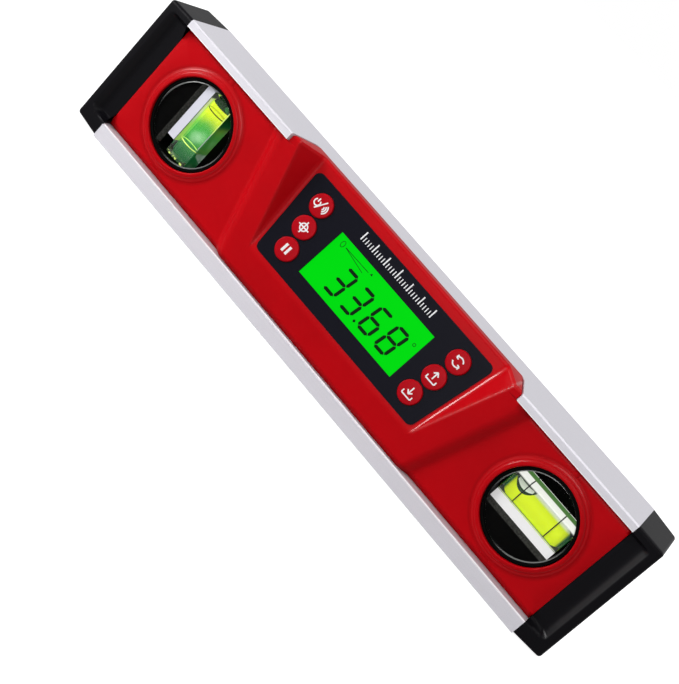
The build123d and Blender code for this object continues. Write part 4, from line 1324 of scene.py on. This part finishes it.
class LEVEL_OT_caps(PieceOperator, bpy.types.Operator):
    """Builds the two end caps: drafted blocks with a soft dish in front and behind."""

    bl_idname = "spirit_level.caps"
    bl_label = "End caps"

    # Numbers of points: along a cap, up its front, across its top and round an edge
    LENGTH_POINTS, HEIGHT_POINTS, DEPTH_POINTS, EDGE_POINTS = 40, 121, 25, 7

    def build(self, context):
        self.sizes = context.scene.level_caps
        self.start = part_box("aluminium_frame")[1].x
        self.low, self.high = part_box("right_end_cap")
        points, faces = self.cap()
        for node, side in (("right_end_cap", 1), ("left_end_cap", -1)):
            patch = outward((points * (side, 1, 1), faces))
            make_piece(node + "_moulding", [patch], "level", look(black_cap), (node,))

    def ring(self):
        """The section's outline as signs of its half depth and half height, and the direction of its
        rounding: the front going up, the top, the back going down and the foot."""
        long, short = (np.linspace(-1, 1, size)[1:-1] for size in (self.HEIGHT_POINTS, self.DEPTH_POINTS))
        sides = ((-1, long), (short, 1), (1, -long), (-short, -1))
        corners = ((-1, 1), (1, 1), (1, -1), (-1, -1))
        bend = np.linspace(0, np.pi / 2, self.EDGE_POINTS)
        parts = []
        for quarter, (side, corner) in enumerate(zip(sides, corners)):
            start = np.pi - quarter * np.pi / 2
            parts += [np.broadcast_arrays(*side, start), np.broadcast_arrays(*corner, start - bend)]
        return np.concatenate(parts, axis=1)

    def dish(self, x, z):
        """How far into the dish a point is, from 0 on the rim to 1 on the floor. Its distances from the rim
        at the end and at the sides, each as a share of its wall, are joined as the two sides of a right
        angle, so that the corners are round. The wall is straight, with a small curve at the rim and a wide
        one at the floor."""
        sizes = self.sizes
        low, high = inner_faces()
        to_end = np.clip((self.high.x - sizes.rim - x) / sizes.dish_slope, 0, 1)
        to_side = np.clip(((high - low) / 2 - np.abs(z - (low + high) / 2)) / sizes.dish_side, 0, 1)
        share = np.clip(1 - np.hypot(1 - to_end, 1 - to_side), 0, 1)
        sharp, wide = 0.15, 0.5
        rise = self.bend(share, 0, sharp) - self.bend(share, 1 - wide, 1)
        return rise / (1 - sharp / 2 - wide / 2)

    def bend(self, share, start, end):
        """A line that is level up to a start, curves as a parabola and climbs evenly after an end."""
        return np.clip(share - start, 0, end - start) ** 2 / (2 * (end - start)) + np.maximum(share - end, 0)

    def cap(self):
        """The cap: a rounded section carried along the level and drawn in by its draft, rolled over at its
        end; the front and the back are pushed in by the dish."""
        sizes = self.sizes
        depth, height, turn = self.ring()
        roll, end = sizes.edge_round, self.high.x
        straight = np.linspace(self.start, end - roll, self.LENGTH_POINTS)
        rolled = np.linspace(0, np.pi / 2, self.EDGE_POINTS + 1)[1:]
        bend = np.append(0 * straight, rolled)[:, None]
        along = np.append(straight, 0 * rolled + end - roll)[:, None] + roll * np.sin(bend)
        share = (along - self.start) / (end - self.start)
        centre, half = (self.low + self.high) / 2, (self.high - self.low) / 2
        half_depth, half_height = half.y - sizes.draft_depth * share, half.z - sizes.draft_height * share
        y = centre.y + depth * (half_depth - roll) + roll * np.cos(bend) * np.cos(turn)
        z = centre.z + height * (half_height - roll) + roll * np.cos(bend) * np.sin(turn)
        x = np.broadcast_to(along, y.shape)
        sunk = self.dish(x, z)
        front, back = self.low.y + sizes.front_floor, self.high.y - sizes.back_floor
        y = np.where(depth == -1, y + sunk * np.maximum(front - y, 0), y)
        y = np.where(depth == 1, y + sunk * np.minimum(back - y, 0), y)
        sides = np.stack([x, y, z], axis=-1)
        near, far = (row * (1, 0, 0) + (0, centre.y, centre.z) for row in (sides[:1], sides[-1:]))
        rows = [near, (near + sides[:1]) / 2, sides, (far + sides[-1:]) / 2, far]
        return grid_patch(np.concatenate(rows), wrap=True)


class LEVEL_OT_display(PieceOperator, bpy.types.Operator):
    """Builds the lit display with its figures, and the scale printed on the panel."""

    bl_idname = "spirit_level.display"
    bl_label = "Display"

    # The ends of the seven bars of a figure: a top, b and c right, d foot, e and f left, g middle
    BARS = {
        "a": ((-1, 1), (1, 1)), "b": ((1, 1), (1, 0)), "c": ((1, 0), (1, -1)), "d": ((-1, -1), (1, -1)),
        "e": ((-1, 0), (-1, -1)), "f": ((-1, 1), (-1, 0)), "g": ((-1, 0), (1, 0)),
    }
    FIGURES = {"3": "abcdg", "6": "acdefg", "8": "abcdefg"}

    # Places on the panel in millimetres, across and up the slope
    PLACES = ((-11.8, "3"), (-2.83, "3"), (6.82, "6"), (15.8, "8"))
    POINT = ((1.65, 8.75), (2.3, 9.42), (1.65, 10.1), (1.0, 9.42))
    NOUGHT, NOUGHT_SIZE = (-21.6, 24.2), (0.75, 1.2)
    DEGREE, DEGREE_RADIUS = (22.2, 19.8), 0.55
    ANGLE = (((-19.9, 24.15), (-7.8, 24.3)), ((-19.9, 24.1), (-9.3, 22.55)))
    POINTER = ((-7.0, 24.3), (-5.9, 24.3), (-6.4, 25.2))

    def build(self, context):
        self.sizes = context.scene.level_display
        self.slope = Slope()
        low, high = self.slope.span("lcd_glass")
        outline = rounded_outline(rectangle(low[:2], high[:2]), self.sizes.glass_corner)
        plate = self.plate(outline, low[2], high[2], self.sizes.glass_edge)
        make_piece("display_glass", [plate], "level", look(lit_display), ("lcd_glass",))
        lift = high[2] + self.sizes.ink_lift
        shapes = [self.bar(bar, place) for place, figure in self.PLACES for bar in self.FIGURES[figure]]
        patches = [self.flat(shape, lift) for shape in (*shapes, np.array(self.POINT) * MM)]
        dark = look(display_segment, "display_segment", 1.0)
        faint = look(display_segment, "display_sign", 1.6)
        make_piece("display_figures", patches, "level", dark)
        make_piece("display_marks", self.marks(lift), "level", faint)
        make_piece("panel_scale", self.scale(), "level", look(white_print))
        dress(look(printed_film), "display_panel")
        dress(look(lit_display), "lcd_backlight")

    def plate(self, outline, low, high, roll):
        """A plate on the slope: its outline runs from the middle of its back, up its side and over a rolled
        edge to the middle of its face."""
        turn = np.linspace(0, np.pi / 2, 5)
        inset = np.concatenate([[1.0, 0.0], roll * (1 - np.cos(turn)), [1.0]])
        height = np.concatenate([[low, low], high - roll + roll * np.sin(turn), [high]])
        rings = drawn_in(outline, inset)
        points = self.slope.point(rings[..., 0], rings[..., 1], height[:, None])
        return outward(grid_patch(points, wrap=True))

    def bar(self, bar, place):
        """A six-sided bar with pointed ends between two corners of a figure, leant over by the slant."""
        sizes = self.sizes
        first, last = np.array(self.BARS[bar]) * (sizes.digit_width / 2, sizes.digit_height / 2)
        along = (last - first) / np.linalg.norm(last - first)
        aside = np.array((-along[1], along[0])) * sizes.bar_width / 2
        gap = along * sizes.bar_gap / 2 * math.sqrt(2)
        shoulder = along * sizes.bar_width / 2 + gap
        shape = np.stack([
            first + gap, first + shoulder - aside, last - shoulder - aside,
            last - gap, last - shoulder + aside, first + shoulder + aside,
        ])
        shape[:, 0] += shape[:, 1] * sizes.digit_slant
        return shape + (place * MM, sizes.digit_rise)

    def flat(self, shape, lift):
        """A flat many-sided face on the slope."""
        return self.slope.point(shape[:, 0], shape[:, 1], lift), np.arange(len(shape))[None]

    def marks(self, lift):
        """The small signs of the display: a nought with two lines of an angle and a pointer, and the ring of
        a degree sign."""
        nought = arc(1.0, 0, 360, 33) * self.NOUGHT_SIZE + self.NOUGHT
        lines = [nought, arc(self.DEGREE_RADIUS, 0, 360, 25, self.DEGREE), *self.ANGLE]
        patches = [ribbon(self.slope, np.array(line) * MM, self.sizes.thin_line, lift) for line in lines]
        return patches + [self.flat(np.array(self.POINTER) * MM, lift)]

    def scale(self):
        """A plain scale of upright lines, longer and wider at every fifth and longest in the middle."""
        sizes = self.sizes
        places = np.arange(-15, 16)
        fifth = places % 5 == 0
        tall = np.where(fifth, 1.0, 0.55) * np.where(places == 0, 1.15, 1.0) * sizes.scale_height
        widths = np.where(fifth, sizes.scale_bold, sizes.scale_fine)
        across = places / np.ptp(places) * sizes.scale_width
        foot = sizes.scale_foot
        lines = [((x, foot), (x, foot + height)) for x, height in zip(across, tall)]
        return [ribbon(self.slope, line, width, sizes.ink_lift) for line, width in zip(lines, widths)]


class LEVEL_OT_keys(PieceOperator, bpy.types.Operator):
    """Builds the six keys with plain signs on them."""

    bl_idname = "spirit_level.keys"
    bl_label = "Keys"

    def build(self, context):
        self.sizes = context.scene.level_display
        self.slope = Slope()
        for key in KEYS:
            node = key + "_button"
            low, high = self.slope.span(node)
            x, u, _ = (low + high) / 2
            self.crown = high[2]
            self.radius = (high[1] - low[1]) / 2
            cap = lathe(self.profile(), self.slope.point(x, u), self.slope.out, self.slope.across, 72)
            make_piece(node + "_cap", [cap], node, look(key_rubber), (node,))
            signs = [self.sign(line, x, u) for line in getattr(self, key)()]
            make_piece(node + "_sign", signs, node, look(white_print))

    def profile(self):
        """The key's outline: a straight side, a rounded edge and a shallow crown that eases into the edge
        with the fourth power of the distance from the middle."""
        sizes = self.sizes
        side = self.crown - sizes.key_dome
        corners = [(self.radius, -sizes.key_foot), (self.radius, side), (0.0, self.crown)]
        upper = soft_profile(corners, [sizes.key_edge], 9)
        radius = np.linspace(upper[-2, 0], 0, 12)
        crown = np.stack([radius, self.height(radius)], axis=1)
        crown[:, 1] += (upper[-2, 1] - crown[0, 1]) * (radius / radius[0]) ** 4
        return np.concatenate([[(0.0, -sizes.key_foot)], upper[:-1], crown[1:]])

    def height(self, radius):
        """Height of the crown at a distance from its middle: a parabola."""
        return self.crown - self.sizes.key_dome * (radius / self.radius) ** 2

    def sign(self, line, x, u):
        """One line of a sign, in millimetres from the key's middle, laid on the crown."""
        path = stroke(np.asarray(line) * MM, self.sizes.mark_width)
        lift = self.height(np.hypot(path[..., 0], path[..., 1])) + self.sizes.ink_lift
        return grid_patch(self.slope.point(path[..., 0] + x, path[..., 1] + u, lift))

    def power(self):
        """An open ring with a stem, a slanting line and three waves."""
        lines = straights((-1.9, 0.1), (-1.9, 1.6)) + straights((-1.35, -2.3), (1.1, 2.5))
        waves = [arc(radius, -52, 52, 12, (0.75, -0.2)) for radius in (0.75, 1.5, 2.25)]
        return [arc(1.25, 130, 410, 24, (-1.9, -0.1)), *lines, *waves]

    def reference(self):
        """A ring with a cross through it."""
        return [arc(1.45, 0, 360, 33), *straights((-2.5, 0), (2.5, 0)), *straights((0, -2.5), (0, 2.5))]

    def hold(self):
        """Two upright bars, each of two lines."""
        sides = (-1.15, -0.65, 0.65, 1.15)
        return [line for side in sides for line in straights((side, -1.7), (side, 1.7))]

    def tray(self):
        """An open tray."""
        return straights((-2.1, -0.6), (-2.1, -1.9), (2.1, -1.9), (2.1, -0.6))

    def store(self):
        """An arrow down into a tray."""
        return straights((0, 2.2), (0, -0.7)) + straights((-1.1, 0.4), (0, -0.8), (1.1, 0.4)) + self.tray()

    def recall(self):
        """An arrow up out of a tray."""
        return straights((0, -0.9), (0, 2.1)) + straights((-1.1, 1.0), (0, 2.2), (1.1, 1.0)) + self.tray()

    def mode(self):
        """Two arrows that follow each other round a ring."""
        turns = [arc(1.9, start, start + 125, 20) for start in (25, 205)]
        tip = turns[0][-1]
        head = np.array((tip + (0.15, 1.05), tip, tip + (1.05, -0.2)))
        return [*turns, *straights(*head), *straights(*-head)]


class LEVEL_OT_vials(PieceOperator, bpy.types.Operator):
    """Builds the two vials: cup, window, clear block, fluid, lines and bubble."""

    bl_idname = "spirit_level.vials"
    bl_label = "Vials"

    def build(self, context):
        self.sizes = context.scene.level_vials
        self.out = np.array((0, -1.0, 0))
        self.vial("level", np.array((1.0, 0, 0)), np.array((0, 0, 1.0)))
        self.vial("plumb", np.array((0, 0, -1.0)), np.array((1.0, 0, 0)))

    def vial(self, name, along, over):
        """One vial: its bore runs along one direction and its bubble rises over in another."""
        sizes = self.sizes
        level = name == "level"
        self.kind, self.along, self.over = name, along, over
        window = middle(name + "_vial_lens")
        self.centre = np.array((window.x, frame_front(), window.z))
        block = self.points("block")
        back = (block @ self.out).min() if level else -sizes.block_front - sizes.block_depth
        ends = (block @ along).min(), (block @ along).max()
        self.block = ends, (back, -sizes.block_front), (-sizes.block_foot, sizes.block_top)
        self.half = (ends[1] - ends[0]) / 2 - sizes.bore_wall
        self.axis_depth = -sizes.block_front - sizes.bore_wall - sizes.bore
        self.axis_rise = sizes.bore_rise + (0 if level else sizes.bore_shift)
        self.core = self.at(0, self.axis_rise, self.axis_depth)
        lens = lathe(self.lens_profile(), self.centre, self.out, (1, 0, 0))
        fluid = lathe(self.fluid_profile(), self.core, along, over, 64)
        self.piece("cup_moulding", self.cup(), "black_cups", "cup", black_cup)
        self.piece("window", [lens], "clear_acrylic", "lens", clear_lens)
        self.piece("clear_block", [self.clear_block()], "clear_acrylic", "block", clear_acrylic)
        self.piece("white_strip", [self.strip()], "white_reflector", "reflector", white_reflector)
        self.piece("glowing_fluid", [fluid], "vial_fluid", "fluid", vial_fluid)
        lift, shift = (0, 0) if level else (sizes.line_lift, sizes.line_shift)
        for side, label in ((-1, "first"), (1, "second")):
            ring = self.line(side * sizes.line_place - lift, shift)
            self.piece(label + "_line", [ring], "vial_fluid", None, line_ink, label)
        gas = self.bubble() if level else self.end_bubble()
        bubble = self.piece("gas_bubble", [gas], "vial_bubble", "bubble", bubble_gas)
        self.paint_rim(bubble.data)
        dress(look(tinted_plug), name + "_vial_plug")

    def piece(self, label, patches, slot, node, maker, *values):
        """One piece of the vial, which stands for one CAD node or for none. The bubble rides on a body of
        its own."""
        prefix = self.kind + "_vial_"
        body = self.kind + "_bubble" if node == "bubble" else "level"
        replaces = (prefix + node,) if node else ()
        return make_piece(prefix + label, patches, body, look(maker, self.kind, *values), replaces)

    def points(self, node):
        """The points of one of the vial's CAD nodes, from the window's middle at the frame's front."""
        return node_points(f"{self.kind}_vial_{node}") - self.centre

    def at(self, along, over, out):
        """Points in the level's frame, for arrays of places along the bore, over the window's middle and out
        of the frame's front."""
        parts = zip(np.broadcast_arrays(along, over, out), (self.along, self.over, self.out))
        return self.centre + sum(part[..., None] * way for part, way in parts)

    def cup(self):
        """The cup turned about its axis from the middle of its back, round the outside, over the rounded
        ring and down to its floor; and the flat platform under the vial."""
        sizes = self.sizes
        cup, lens = self.points("cup"), self.points("lens")
        outer, inner = cup[:, 0].max(), lens[:, 0].max()
        back = (cup @ self.out).min()
        floor = back + sizes.cup_floor
        shoulder = (lens @ self.out).min() - sizes.shoulder
        window, neck, ring = sizes.ring_inner, sizes.ring_outer, -sizes.ring_depth
        seat = ring - sizes.seat
        corners = [
            (0, back), (outer, back), (outer, shoulder), (neck, shoulder), (neck, ring), (window, ring),
            (window, seat), (inner, seat), (inner, floor), (0, floor),
        ]
        roll = sizes.ring_round
        soft = [0.3 * MM, 0.2 * MM, 0.1 * MM, roll, roll, 0.05 * MM, 0.05 * MM, 0.8 * MM]
        turned = lathe(soft_profile(corners, soft, 6), self.centre, self.out, (1, 0, 0), 128)
        return [turned, self.platform(inner, seat - 0.05 * MM, floor)]

    def platform(self, radius, front, back):
        """The platform: at each place across, a path from the round wall up its front, back over a sloping
        ledge and along its flat top."""
        sizes = self.sizes
        top = -sizes.block_foot - sizes.strip
        edge = top - sizes.ledge
        half = math.sqrt(radius**2 - edge**2)
        across = np.linspace(-half, half, 61)
        wall = -np.sqrt(np.maximum(radius**2 - across**2, 0))
        ledge_back = -sizes.block_front + 0.1 * MM
        rise = [np.minimum(wall, edge), 0 * across + edge, 0 * across + top, 0 * across + top]
        corners = path_corners(zip(rise, (front, front, ledge_back, back)))
        path = soft_corners(corners, [0.5 * MM, 0.5 * MM])
        return grid_patch(self.at(across, path[..., 0], path[..., 1]))

    def lens_profile(self):
        """A flat disc with a rounded front edge."""
        sizes = self.sizes
        front, back = -sizes.ring_depth - sizes.lens_front, -sizes.ring_depth - sizes.lens_back
        rim = sizes.ring_inner
        return soft_profile([(0, back), (rim, back), (rim, front), (0, front)], [0.1 * MM, 0.45 * MM])

    def clear_block(self):
        """A block with rounded edges: a rounded section carried along the bore and drawn in at its ends."""
        (start, end), depth, rise = self.block
        roll = self.sizes.block_round
        section = rounded_outline(rectangle((depth[0], rise[0]), (depth[1], rise[1])), roll)
        turn = np.linspace(0, np.pi / 2, 5)
        inset, run = roll * (1 - np.sin(turn)), roll * (1 - np.cos(turn))
        rings = drawn_in(section, np.concatenate([[1.0], inset, inset[::-1], [1.0]]))
        place = np.concatenate([[start], start + run, end - run[::-1], [end]])
        return outward(grid_patch(self.at(place[:, None], rings[..., 1], rings[..., 0]), wrap=True))

    def strip(self):
        """The white strip: a thick flat section carried along the bore, and sunk a little in the block above
        it."""
        sizes = self.sizes
        strip = self.points("reflector") @ self.along
        start, end = strip.min(), strip.max() - (0 if self.kind == "level" else sizes.strip_cut)
        (back, front), foot = self.block[1], -sizes.block_foot
        section = rectangle((back, foot - sizes.strip), (front, foot + sizes.bond))
        section = rounded_outline(section, 0.12 * MM, 4)
        points = self.at(np.array((start, end))[:, None], section[:, 1], section[:, 0])
        near, far = (np.broadcast_to(row.mean(axis=0), (1, *row.shape)) for row in points)
        return outward(grid_patch(np.concatenate([near, points, far]), wrap=True))

    def bore_radius(self, place):
        """The bore at a distance from its middle: a shallow barrel with rounded ends."""
        sizes = self.sizes
        barrel = sizes.bore + sizes.bore_waist * (1 - (place / self.half) ** 2)
        near_end = np.clip((np.abs(place) - self.half + sizes.bore_end) / sizes.bore_end, 0, 1)
        return barrel - sizes.bore_end * (1 - np.sqrt(1 - near_end**2))

    def fluid_profile(self):
        """The outline of the bore, with its points crowded at the rounded ends."""
        place = -self.half * np.cos(np.linspace(0, np.pi, 61))
        outline = np.stack([self.bore_radius(place), place], axis=1)
        return np.concatenate([[(0, -self.half)], outline, [(0, self.half)]])

    def line(self, place, shift):
        """A thin flat ring round the bore: an oval section turned about an axis that may be shifted a little
        in front of the bore's, so that the far side shows in the fluid."""
        sizes = self.sizes
        turn = np.linspace(0, -2 * np.pi, 13)
        radius = sizes.bore + sizes.bore_waist + sizes.bubble_lift + 0.6 * sizes.line_thick - shift
        radius = radius - sizes.line_thick / 2 * np.cos(turn)
        section = np.stack([radius, place - sizes.line_width / 2 * np.sin(turn)], axis=1)
        return lathe(section, self.core + shift * self.out, self.along, self.over, 72)

    def bubble(self):
        """The bubble fills the top of the bore: along its length the angle that it covers grows and shrinks
        as half an ellipse. Its section is an arc of the bore above and a sagging line below."""
        sizes = self.sizes
        share = np.linspace(-1, 1, 49)[:, None]
        swell = np.sqrt(np.clip(1 - share**2, 0, 1))
        reach = sizes.bubble_spread * swell
        place = (self.points("bubble") @ self.along).min() + (1 + share) * sizes.bubble_length / 2
        radius = self.bore_radius(place) + sizes.bubble_lift
        turn, under = np.linspace(-1, 1, 33), np.linspace(1, -1, 17)[1:-1]
        low_rise = radius * np.cos(reach) - sizes.bubble_sag * swell * (1 - under**2)
        across = np.concatenate([radius * np.sin(reach * turn), radius * np.sin(reach) * under], axis=1)
        rise = np.concatenate([radius * np.cos(reach * turn), low_rise], axis=1)
        points = self.at(place, self.axis_rise + rise, self.axis_depth + across)
        return outward(grid_patch(points, wrap=True))

    def end_bubble(self):
        """The upright vial's bubble fills the upper end of the bore: the bore's outline turned about its
        axis down to a meniscus, a shallow parabola."""
        sizes = self.sizes
        place = -self.half + sizes.bubble_end * (1 - np.cos(np.linspace(0, np.pi / 2, 24)))
        side = np.stack([self.bore_radius(place) + sizes.bubble_lift, place], axis=1)
        rim, level = side[-1]
        share = np.linspace(1, 0, 16)[1:]
        sag = np.stack([rim * share, level - sizes.bubble_sag * (1 - share**2)], axis=1)
        profile = np.concatenate([[(0, -self.half)], side, sag])
        return outward(lathe(profile, self.core, self.along, self.over, 64))

    def paint_rim(self, mesh):
        """Writes the painted shade of each point of the bubble, from 0 to 1: its dark outline, where the
        place along it or the angle round the bore, as shares of their reach, is near 1, and a dark streak
        along its top."""
        points = mesh_points(mesh) - self.core
        place = points @ self.along
        place = (2 * place - place.min() - place.max()) / np.ptp(place)
        reach = self.sizes.bubble_spread * np.sqrt(np.clip(1 - place**2, 0.02, 1))
        turn = np.arctan2(points @ self.out, points @ self.over) / reach
        rim_start, rim_width, streak_turn, streak_width = 0.72, 0.1, 0.22, 0.2
        outline = np.clip((np.maximum(np.abs(turn), np.abs(place)) - rim_start) / rim_width, 0, 1)
        streak = np.clip(1 - np.abs(turn - streak_turn) / streak_width, 0, 1)
        layer = mesh.attributes.new("rim", "FLOAT", "POINT")
        layer.data.foreach_set("value", np.maximum(outline, streak).astype(np.float32))


class LEVEL_OT_inside(PieceOperator, bpy.types.Operator):
    """Dresses the board, its components, the cells and their contacts."""

    bl_idname = "spirit_level.inside"
    bl_label = "Inside"

    def build(self, context):
        component = look(moulded, "component_body", (0.012, 0.012, 0.013, 1), 0.45, 0.3, 4000)
        rubber = look(moulded, "connector_rubber", (0.03, 0.03, 0.032, 1), 0.6, 0.2, 3000)
        sleeve = look(moulded, "lead_sleeve", (0.02, 0.02, 0.022, 1), 0.5, 0.3, 3000)
        spring = look(plated, "contact_spring", (0.66, 0.64, 0.6, 1), 0.18)
        dress(look(circuit_mask), "circuit_board")
        dress(component, "key_switches", "tilt_sensor", "controller_chip", "buzzer")
        dress(rubber, "lcd_connector")
        dress(look(cell_jacket), "upper_battery", "lower_battery")
        dress(spring, "battery_bridge", "battery_contacts")
        dress(sleeve, "battery_leads")


class LEVEL_OT_stage(PieceOperator, bpy.types.Operator):
    """Sets the pale floor, the lamps and the camera."""

    bl_idname = "spirit_level.stage"
    bl_label = "Stage"

    # Each lamp's place and the side of its square, in metres
    LAMPS = {
        "key": ((-0.6, -0.36, 0.2), 0.28),
        "fill": ((0.05, -0.85, 0.36), 0.45),
        "back": ((0.45, 0.35, 0.4), 0.4),
        "rear": ((-0.8, 0.5, 0.12), 0.4),
    }
    LIT_POINT = (0, 0, 0.03)
    CAMERA_PLACE = (0.09928, -0.45439, 0.17562)
    CAMERA_RIGHT = (0.63654, 0.375, 0.67394)
    CAMERA_UP = (-0.74493, 0.07264, 0.66318)
    SENSOR_WIDTH = 36.0
    FLOOR_REACH = 4.0

    def build(self, context):
        stage = context.scene.level_stage
        self.lay_floor(context, stage)
        self.light_world(context, stage)
        for name, (place, size) in self.LAMPS.items():
            self.lamp(context, name + "_lamp", place, getattr(stage, name + "_power"), size)
        sun = bpy.data.lights.new("overhead_lamp", "SUN")
        sun.energy = stage.sun_power
        sun.angle = stage.sun_spread
        context.scene.collection.objects.link(bpy.data.objects.new("overhead_lamp", sun))
        self.aim_camera(context, stage.lens)
        context.scene.view_settings.view_transform = "Standard"

    def lay_floor(self, context, stage):
        """A flat floor just under the level: white to the camera, with the level's shadow."""
        reach = np.linspace(-self.FLOOR_REACH, self.FLOOR_REACH, 9)
        points, faces = grid_patch(np.stack(np.meshgrid(reach, reach, -stage.floor_drop), axis=-1)[:, :, 0])
        mesh = bpy.data.meshes.new("floor")
        mesh.from_pydata(points.tolist(), [], faces.tolist())
        finish = Finish("pale_floor", Base_Color=(0.4, 0.4, 0.4, 1), Roughness=0.9, Specular_IOR_Level=0.0)
        seen = finish.ray("Camera") + finish.ray("Glossy") * 0.35 + finish.ray("Transmission")
        light = finish.node("ShaderNodeEmission", {}, {"Strength": seen.at_most(1.0) * stage.floor_glow})
        finish.show(finish.node("ShaderNodeAddShader", {}, {0: light, 1: finish.surface}))
        mesh.materials.append(finish.material)
        floor = bpy.data.objects.new("floor", mesh)
        context.scene.collection.objects.link(floor)

    def light_world(self, context, stage):
        """Even light from all round: white to the camera and through glass, a little less in reflections and
        soft on surfaces."""
        context.scene.world = bpy.data.worlds.new("studio")
        nodes = Nodes(context.scene.world, "ShaderNodeOutputWorld")
        seen = (nodes.ray("Camera") + nodes.ray("Transmission")).at_most(1.0)
        mirrored = nodes.ray("Glossy") * (stage.sheen - stage.ambient)
        strength = seen * (1 - stage.ambient) + mirrored + stage.ambient
        sky = {"Color": (1, 1, 1, 1), "Strength": strength.at_most(1.0)}
        nodes.show(nodes.node("ShaderNodeBackground", {}, sky))

    def stand(self, context, data, right, up, place):
        """Puts a lamp or a camera at a place, with its own x to the right and its y up."""
        item = bpy.data.objects.new(data.name, data)
        context.scene.collection.objects.link(item)
        rows = np.stack([right, up, np.cross(right, up), place], axis=1)
        item.matrix_world = Matrix([*rows.tolist(), (0, 0, 0, 1)])
        return item

    def lamp(self, context, name, place, power, size):
        """A square soft lamp that faces the middle of the level."""
        data = bpy.data.lights.new(name, "AREA")
        data.energy = power
        data.size = size
        back = np.subtract(place, self.LIT_POINT)
        back /= np.linalg.norm(back)
        right = np.cross((0, 0, 1), back)
        right /= np.linalg.norm(right)
        self.stand(context, data, right, np.cross(back, right), place)

    def aim_camera(self, context, lens):
        """Looks down at the level from the front right, rolled so that it runs across the picture."""
        data = bpy.data.cameras.new("camera")
        data.lens = lens
        data.sensor_width = self.SENSOR_WIDTH
        camera = self.stand(context, data, self.CAMERA_RIGHT, self.CAMERA_UP, self.CAMERA_PLACE)
        context.scene.camera = camera


OPERATORS = (
    LEVEL_OT_frame,
    LEVEL_OT_front_housing,
    LEVEL_OT_rear,
    LEVEL_OT_caps,
    LEVEL_OT_display,
    LEVEL_OT_keys,
    LEVEL_OT_vials,
    LEVEL_OT_inside,
    LEVEL_OT_stage,
)

GROUPS = {
    "level_colours": LevelColours,
    "level_housing": HousingSizes,
    "level_screws": ScrewSizes,
    "level_caps": CapSizes,
    "level_display": DisplaySizes,
    "level_vials": VialSizes,
    "level_stage": LevelStage,
}


class LEVEL_PT_panel(bpy.types.Panel):
    """Lists the level's pieces and its settings."""

    bl_label = "Spirit level"
    bl_space_type = "VIEW_3D"
    bl_region_type = "UI"
    bl_category = "Spirit level"

    def draw(self, context):
        for operator in OPERATORS:
            self.layout.operator(operator.bl_idname)
        for group in GROUPS:
            settings = getattr(context.scene, group)
            for name in settings.__annotations__:
                self.layout.prop(settings, name)


def register():
    for group in (*GROUPS.values(), *OPERATORS, LEVEL_PT_panel):
        bpy.utils.register_class(group)
    for name, group in GROUPS.items():
        setattr(bpy.types.Scene, name, bpy.props.PointerProperty(type=group))


def unregister():
    for name in GROUPS:
        delattr(bpy.types.Scene, name)
    for group in (LEVEL_PT_panel, *reversed(OPERATORS), *GROUPS.values()):
        bpy.utils.unregister_class(group)


def main():
    register()
    for operator in OPERATORS:
        prefix, name = operator.bl_idname.split(".")
        getattr(getattr(bpy.ops, prefix), name)()


if __name__ == "__main__":
    main()
